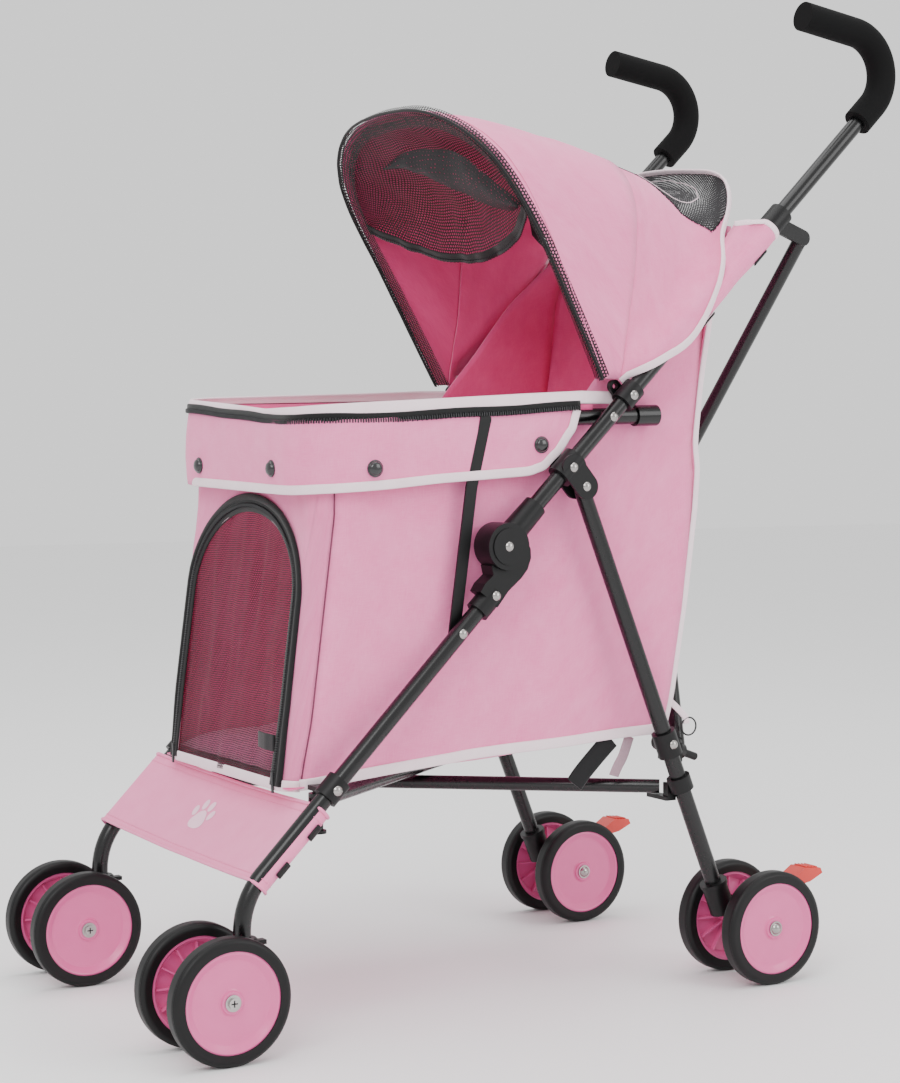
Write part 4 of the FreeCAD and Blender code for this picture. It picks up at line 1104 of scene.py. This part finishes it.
# net cover tucked up inside the front hood
def hoop_x(r):
    return ramp(r / 322.0, SHAPE_F) - 5.0


def net_low(x):
    return 148 + 58 * (abs(x) / 160.0) ** 2


rows = []
for t in np.linspace(0, 1, 26):
    row = []
    for k in range(61):
        f = -1 + 2 * k / 60
        # lower edge point and its partner on the hoop above it
        xl = 158 * f
        rl = net_low(xl)
        ang = math.pi / 2 * (1 - abs(f) ** 1.0)
        # partner on the hoop outline
        xs = math.sin(math.pi / 2 * f)
        xh = 158 * xs
        rh = next((rr for rr, xx in zip(np.linspace(316, 205, 80), [hoop_x(q) for q in np.linspace(316, 205, 80)]) if xx >= abs(xh)), 205.0)
        x = xl * (1 - t) + xh * t
        r = rl * (1 - t) + (rh - 4) * t
        belly = 34 * math.sin(math.pi * min(1.0, t * 0.9 + 0.12)) * (1 - abs(f) ** 3) + 6 * wob((x, r, 0), 0.02, 1.1) + 3 * wob((x, r, 0), 0.05, 3.3)
        p = P(x, HY, HZ) + U * (r / 1000) - FWD * ((6 + belly) / 1000)
        row.append(p)
    rows.append(row)
net_cover = sheet_grid("hood_net_cover", rows, [M["net_hood"]], thick=0.0)
front_bits.append(net_cover)
low = rows[0]
front_bits.append(strip("cover_zip_tape", low, oval(9.0, 1.6, 12, 3.0), M["zip_tape"], [U.lerp(-FWD, 0.9).normalized()] * len(low)))
front_bits.append(teeth("cover_zip_teeth", [p - U * 0.0045 for p in low], [FWD] * len(low), M["zip_teeth"], width=0.0048, gap=0.0026))
# folded-up layers of the cover
rows = []
up = [(-52, 268), (-20, 276), (12, 275), (50, 268), (84, 257), (120, 228), (152, 203)]
dn = [(-52, 266), (-18, 256), (26, 230), (60, 212), (95, 200), (125, 196), (152, 201)]
upc, dnc = spline([Vector((x, r, 0)) for x, r in up], 6), spline([Vector((x, r, 0)) for x, r in dn], 6)
for t in np.linspace(0, 1, 9):
    row = []
    for p, q in zip(upc, dnc):
        m = p.lerp(q, t)
        out = 4 + 7 * math.sin(math.pi * t) + 2.0 * wob((m.x, m.y, 0), 0.06, 2.0)
        row.append(P(m.x, HY, HZ) + U * (m.y / 1000) - FWD * ((8 - out + 12 * (1 - abs(m.x - 50) / 110)) / 1000))
    rows.append(row)
roll = sheet_grid("cover_fold", rows, [M["net_roll"]], thick=0.0, direction=FWD)
front_bits.append(roll)
# ---- sleeves on the push tubes --------------------------------------------------------------------------------
sleeves = {"left": [], "right": []}
TUBE = Vector((0, math.cos(math.radians(44.7)), math.sin(math.radians(44.7))))
TN = Vector((0, -TUBE.z, TUBE.y))


def tube_at(y, x=171.0):
    return P(x, y, 471.4 + (y - 325) * 0.9896)


for tag, g in (("left", 1), ("right", -1)):
    rows = []
    for t in np.linspace(0, 1, 22):
        y = 520 + (620 - 520) * t
        c = tube_at(y, g * 171)
        row = []
        # cloth from the hood's edge, over the outside of the tube, under it and back inside
        web_up = 14 + 15 * t
        lag = TUBE * (-0.022 * t)
        web_y = 0.0
        hood_side = P(g * 161, 0, 0).x
        R = 10.4 + 1.6 * step(t, 0, 0.3) + 0.5 * math.sin(9 * t) + 0.9 * wob((y, g * 40, 0), 0.05, 2.0) * step(t, 0, 0.3)
        row.append(c + TN * (web_up / 1000) + Vector((g * -0.007, 0, 0)) + lag)
        row.append(c + TN * ((web_up * 0.6 + 5) / 1000) + Vector((g * 0.003, 0, 0)) + lag * 0.6)
        for ph in np.linspace(60, -150, 15):
            w = math.radians(ph)
            row.append(c + (Vector((g, 0, 0)) * math.cos(w) + TN * math.sin(w)) * (R / 1000))
        row.append(c + TN * (-0.002) + Vector((g * -0.0112, 0, 0)))
        row.append(c + TN * ((web_up * 0.7) / 1000) + Vector((g * -0.0105, 0, 0)) + lag * 0.6)
        rows.append(row)
    o = sheet_grid("tube_sleeve_" + tag, rows, [M["pink"], M["pink_painted_shade"]], thick=0.0013, centre=tube_at(564, g * 171))
    sleeves[tag].append(o)
    for nm, row in (("low", rows[0]), ("top", rows[-1])):
        pts = resample(row[6:-2] if nm == "low" else row[:-1], 0.0025)
        c = tube_at(520 if nm == "low" else 620, g * 171)
        sleeves[tag].append(strip("sleeve_binding_%s_%s" % (nm, tag), pts, oval(6.5, 2.6, 12, 2.6), M["bind"], [(p - c).normalized() for p in pts]))
    for k, y in enumerate((533.0, 598.0)):
        c = tube_at(y, g * 171)
        w = math.radians(-52)
        d = (Vector((g, 0, 0)) * math.cos(w) + TN * math.sin(w))
        path = [c + d * 0.0136 + TUBE * (v / 1000) for v in np.linspace(-10, 10, 7)]
        sleeves[tag].append(strip("sleeve_slot_%s_%d" % (tag, k + 1), path, oval(5.0, 1.8, 12, 2.4), M["web"], [d] * 7))

# ---- straps under the cabin -----------------------------------------------------------------------------------
straps = []
def flat_strap(name, pts, width, mat, normal, thick=1.6, n=8):
    path = spline([P(*p) for p in pts], n)
    return strip(name, path, oval(width, thick, 12, 4.0), mat, [Vector(normal)] * len(path))


for tag, g in (("left", 1), ("right", -1)):
    straps.append(("side_" + tag, flat_strap("floor_web_" + tag, [(g * 139, 452, 251), (g * 138, 436, 236), (g * 137, 418, 218), (g * 136.5, 410, 208)], 21.0, M["web"], (g, 0, 0))))
    straps.append(("side_" + tag, flat_strap("floor_elastic_" + tag, [(g * 137, 476, 252), (g * 139, 471, 243), (g * 139.5, 466, 232), (g * 139, 460, 222), (g * 137, 457, 213)], 12.0, M["elastic"], (g, 0, 0), 1.2)))
    ring = [P(g * 149, 541 + 9 * math.cos(w), 259 + 9 * math.sin(w)) for w in np.linspace(0, 2 * math.pi, 37)[:-1]]
    straps.append(("side_" + tag, strip("corner_ring_" + tag, ring, oval(1.8, 1.8, 8), M["wire"], [Vector((g, 0, 0))] * 36, closed=True)))
    straps.append(("side_" + tag, flat_strap("corner_loop_" + tag, [(g * 145, 521, 285), (g * 147.5, 530, 276), (g * 149, 537, 268), (g * 149, 538, 262)], 7.0, M["bind"], (g, 0, 0), 1.4)))

# ---- rubber and metal detail on the wheels and frame ----------------------------------------------------------
wheel_bits = []
for end, cx, cy, nm in (("front", 171.0, 0.0, "front_wheels_"), ("rear", 173.5, 600.0, "rear_wheels_")):
    for g, tag in ((1, "left"), (-1, "right")):
        for sgn in (1, -1):
            hub = P(g * cx + sgn * 36.5, cy, 57.5)
            # fine shoulder line on both shoulders of the tyre
            for q in (1, -1):
                ring = [hub + Vector((q * 0.0066, 0.0565 * math.cos(w), 0.0565 * math.sin(w))) for w in np.linspace(0, 2 * math.pi, 73)[:-1]]
                wheel_bits.append((nm + tag, strip("%s_tyre_line_%s_%s%s" % (end, tag, "o" if sgn * g > 0 else "i", "a" if q > 0 else "b"), ring, oval(1.2, 1.0, 8), M["rubber"],
                                                   [(p - hub).normalized() for p in ring], closed=True)))
            # ribs on the inner face of the disc
            verts, faces = [], []
            for k in range(12):
                w = 2 * math.pi * k / 12
                e, f = Vector((0, math.cos(w), math.sin(w))), Vector((0, -math.sin(w), math.cos(w)))
                b0 = len(verts)
                for rr, hh in ((0.0105, 6.4), (0.040, 5.2)):
                    for side in (-0.0008, 0.0008):
                        for dep in (-0.5, -hh):
                            verts.append(hub + e * rr + f * side + Vector((sgn * (1.2 + dep) / 1000, 0, 0)))
                faces += [tuple(b0 + q for q in f4) for f4 in ((0, 1, 3, 2), (4, 6, 7, 5), (0, 4, 5, 1), (2, 3, 7, 6), (1, 5, 7, 3), (0, 2, 6, 4))]
            o = make("%s_disc_ribs_%s_%s" % (end, tag, "o" if sgn * g > 0 else "i"), verts, faces, [M["disc"]], smooth=False)
            bm = bmesh.new(); bm.from_mesh(o.data); bmesh.ops.recalc_face_normals(bm, faces=bm.faces); bm.to_mesh(o.data); bm.free()
            wheel_bits.append((nm + tag, o))
# cross recess on the front bolt heads and ridges on the pedals
for g, tag in ((1, "left"), (-1, "right")):
    for sgn in (1, -1):
        x = g * 171.0 + sgn * (36.5 + 7.3 + 3.4)
        verts, faces = [], []
        for (hy, hz) in ((3.1, 0.6), (0.6, 3.1)):
            b0 = len(verts)
            for dx in (-0.4, 0.25):
                for (sy, sz) in ((-1, -1), (1, -1), (1, 1), (-1, 1)):
                    verts.append(P(x + sgn * dx, sy * hy, 57.5 + sz * hz))
            faces += [tuple(b0 + q for q in f4) for f4 in ((0, 3, 2, 1), (4, 5, 6, 7), (0, 1, 5, 4), (1, 2, 6, 5), (2, 3, 7, 6), (3, 0, 4, 7))]
        o = make("bolt_cross_%s_%s" % (tag, "o" if sgn * g > 0 else "i"), verts, faces, [M["wire"]], smooth=False)
        wheel_bits.append(("caster_" + tag, o))
    ridges = []
    for k in range(4):
        f = (k + 0.5) / 4
        p0 = (666 + 17 * f, 107.6 - 1.4 * f)
        path = [P(g * 173.5 + dx, p0[0], p0[1] + 0.2) for dx in np.linspace(-9.5, 9.5, 5)]
        wheel_bits.append(("brake_" + tag, strip("pedal_ridge_%s_%d" % (tag, k + 1), path, oval(2.2, 2.4, 10), M["red"], [Vector((0, 0, 1))] * 5)))

# ---- ride, squash and sizes -----------------------------------------------------------------------------------
for o in (front, rear, floor_cloth, bind_front, zip_cover, mat_pad):
    keep_soft(o, "cabin")
for tag in ("left", "right"):
    for o in [side_pieces[tag]] + side_extra[tag]:
        keep_soft(o, "side_" + tag, squash=False)
    for o in sleeves[tag]:
        keep_soft(o, "side_" + tag, squash=False)
keep_soft(door, "door")
for o in door_parts:
    keep_soft(o, "door")
for o in [flap, flap_bind, rim_bind, ledge]:
    keep_soft(o, "cabin")
for o in [rim_zip, rim_teeth] + snaps:
    keep_soft(o, "cabin")
for o in [sling] + sling_bits + paw:
    keep_soft(o, "cabin")
for o in [hood_rear] + hood_bits:
    keep_soft(o, "cabin")
for o in [hood_front]:
    keep_soft(o, "canopy")
for o in front_bits:
    keep_soft(o, "canopy")
for body, o in straps:
    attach(o, body)
for body, o in wheel_bits:
    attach(o, body)


def area_of(o):
    return sum(p.area for p in o.data.polygons)


print("AREAS", {o.name: round(area_of(o), 4) for o in (front, side_pieces["left"], rear, floor_cloth, door, flap, sling, hood_front, hood_rear, net_cover, roll, sleeves["left"][0], rim_bind, ledge, hem)})


def extent(o):
    f = np.zeros(len(o.data.vertices) * 3, np.float32)
    o.data.attributes["flat"].data.foreach_get("vector", f)
    f = f.reshape(-1, 3)
    return [round(float(v), 3) for v in (f.max(0) - f.min(0))[:2]]


print("EXTENTS", {o.name: extent(o) for o in (front, side_pieces["left"], rear, floor_cloth, door, flap, sling, hood_front, hood_rear, net_cover, roll, sleeves["left"][0], rim_bind, ledge, hem)})


# ---- stage, light, camera -------------------------------------------------------------------------------------
m, nt, b = new_mat("floor_paper")
v = obj_coord(nt)
nt.links.new(mix_rgb(nt, noise_tex(nt, v, 2.0, 2.0), (0.93, 0.93, 0.93, 1), (0.95, 0.95, 0.95, 1)), b.inputs["Base Color"])
put(b, "Roughness", 0.55)
ground = make("floor_stage", [(-9, -9, 0), (9, -9, 0), (9, 9, 0), (-9, 9, 0)], [(0, 1, 2, 3)], [m], [(-9, -9, 0), (9, -9, 0), (9, 9, 0), (-9, 9, 0)])

world = bpy.data.worlds.new("studio")
bpy.context.scene.world = world
world.use_nodes = True
world.node_tree.nodes["Background"].inputs[0].default_value = (1, 1, 1, 1)
world.node_tree.nodes["Background"].inputs[1].default_value = 1.15


def area_light(name, loc, target, size, power):
    d = bpy.data.lights.new(name, "AREA")
    d.shape = "RECTANGLE"
    d.size, d.size_y = size
    d.energy = power
    o = bpy.data.objects.new(name, d)
    o.location = loc
    o.rotation_euler = (Vector(target) - Vector(loc)).to_track_quat("-Z", "Y").to_euler()
    bpy.context.scene.collection.objects.link(o)


area_light("key", (2.2, -2.4, 2.6), (0, 0, 0.45), (1.8, 1.8), 62)
area_light("fill", (2.4, 1.6, 1.6), (0, 0, 0.5), (1.6, 1.6), 30)
area_light("top", (0, 0, 3.0), (0, 0, 0), (2.4, 2.4), 48)

cam = bpy.data.objects.new("camera", bpy.data.cameras.new("camera"))
bpy.context.scene.collection.objects.link(cam)
cam.data.lens = 75.10
cam.data.sensor_width = 36.0
cam.data.clip_start, cam.data.clip_end = 0.05, 60
right, up, back = Vector((0.5066, 0.8622, 0.0)), Vector((-0.0398, 0.0234, 0.9990)), Vector((0.8613, -0.5060, 0.0462))
rot = Matrix((right, up, back)).transposed().to_quaternion()
cam.rotation_mode = "QUATERNION"
cam.rotation_quaternion = rot
cam.location = (1.9994, -1.1941, 0.5531)
bpy.context.scene.camera = cam

bpy.context.view_layer.update()
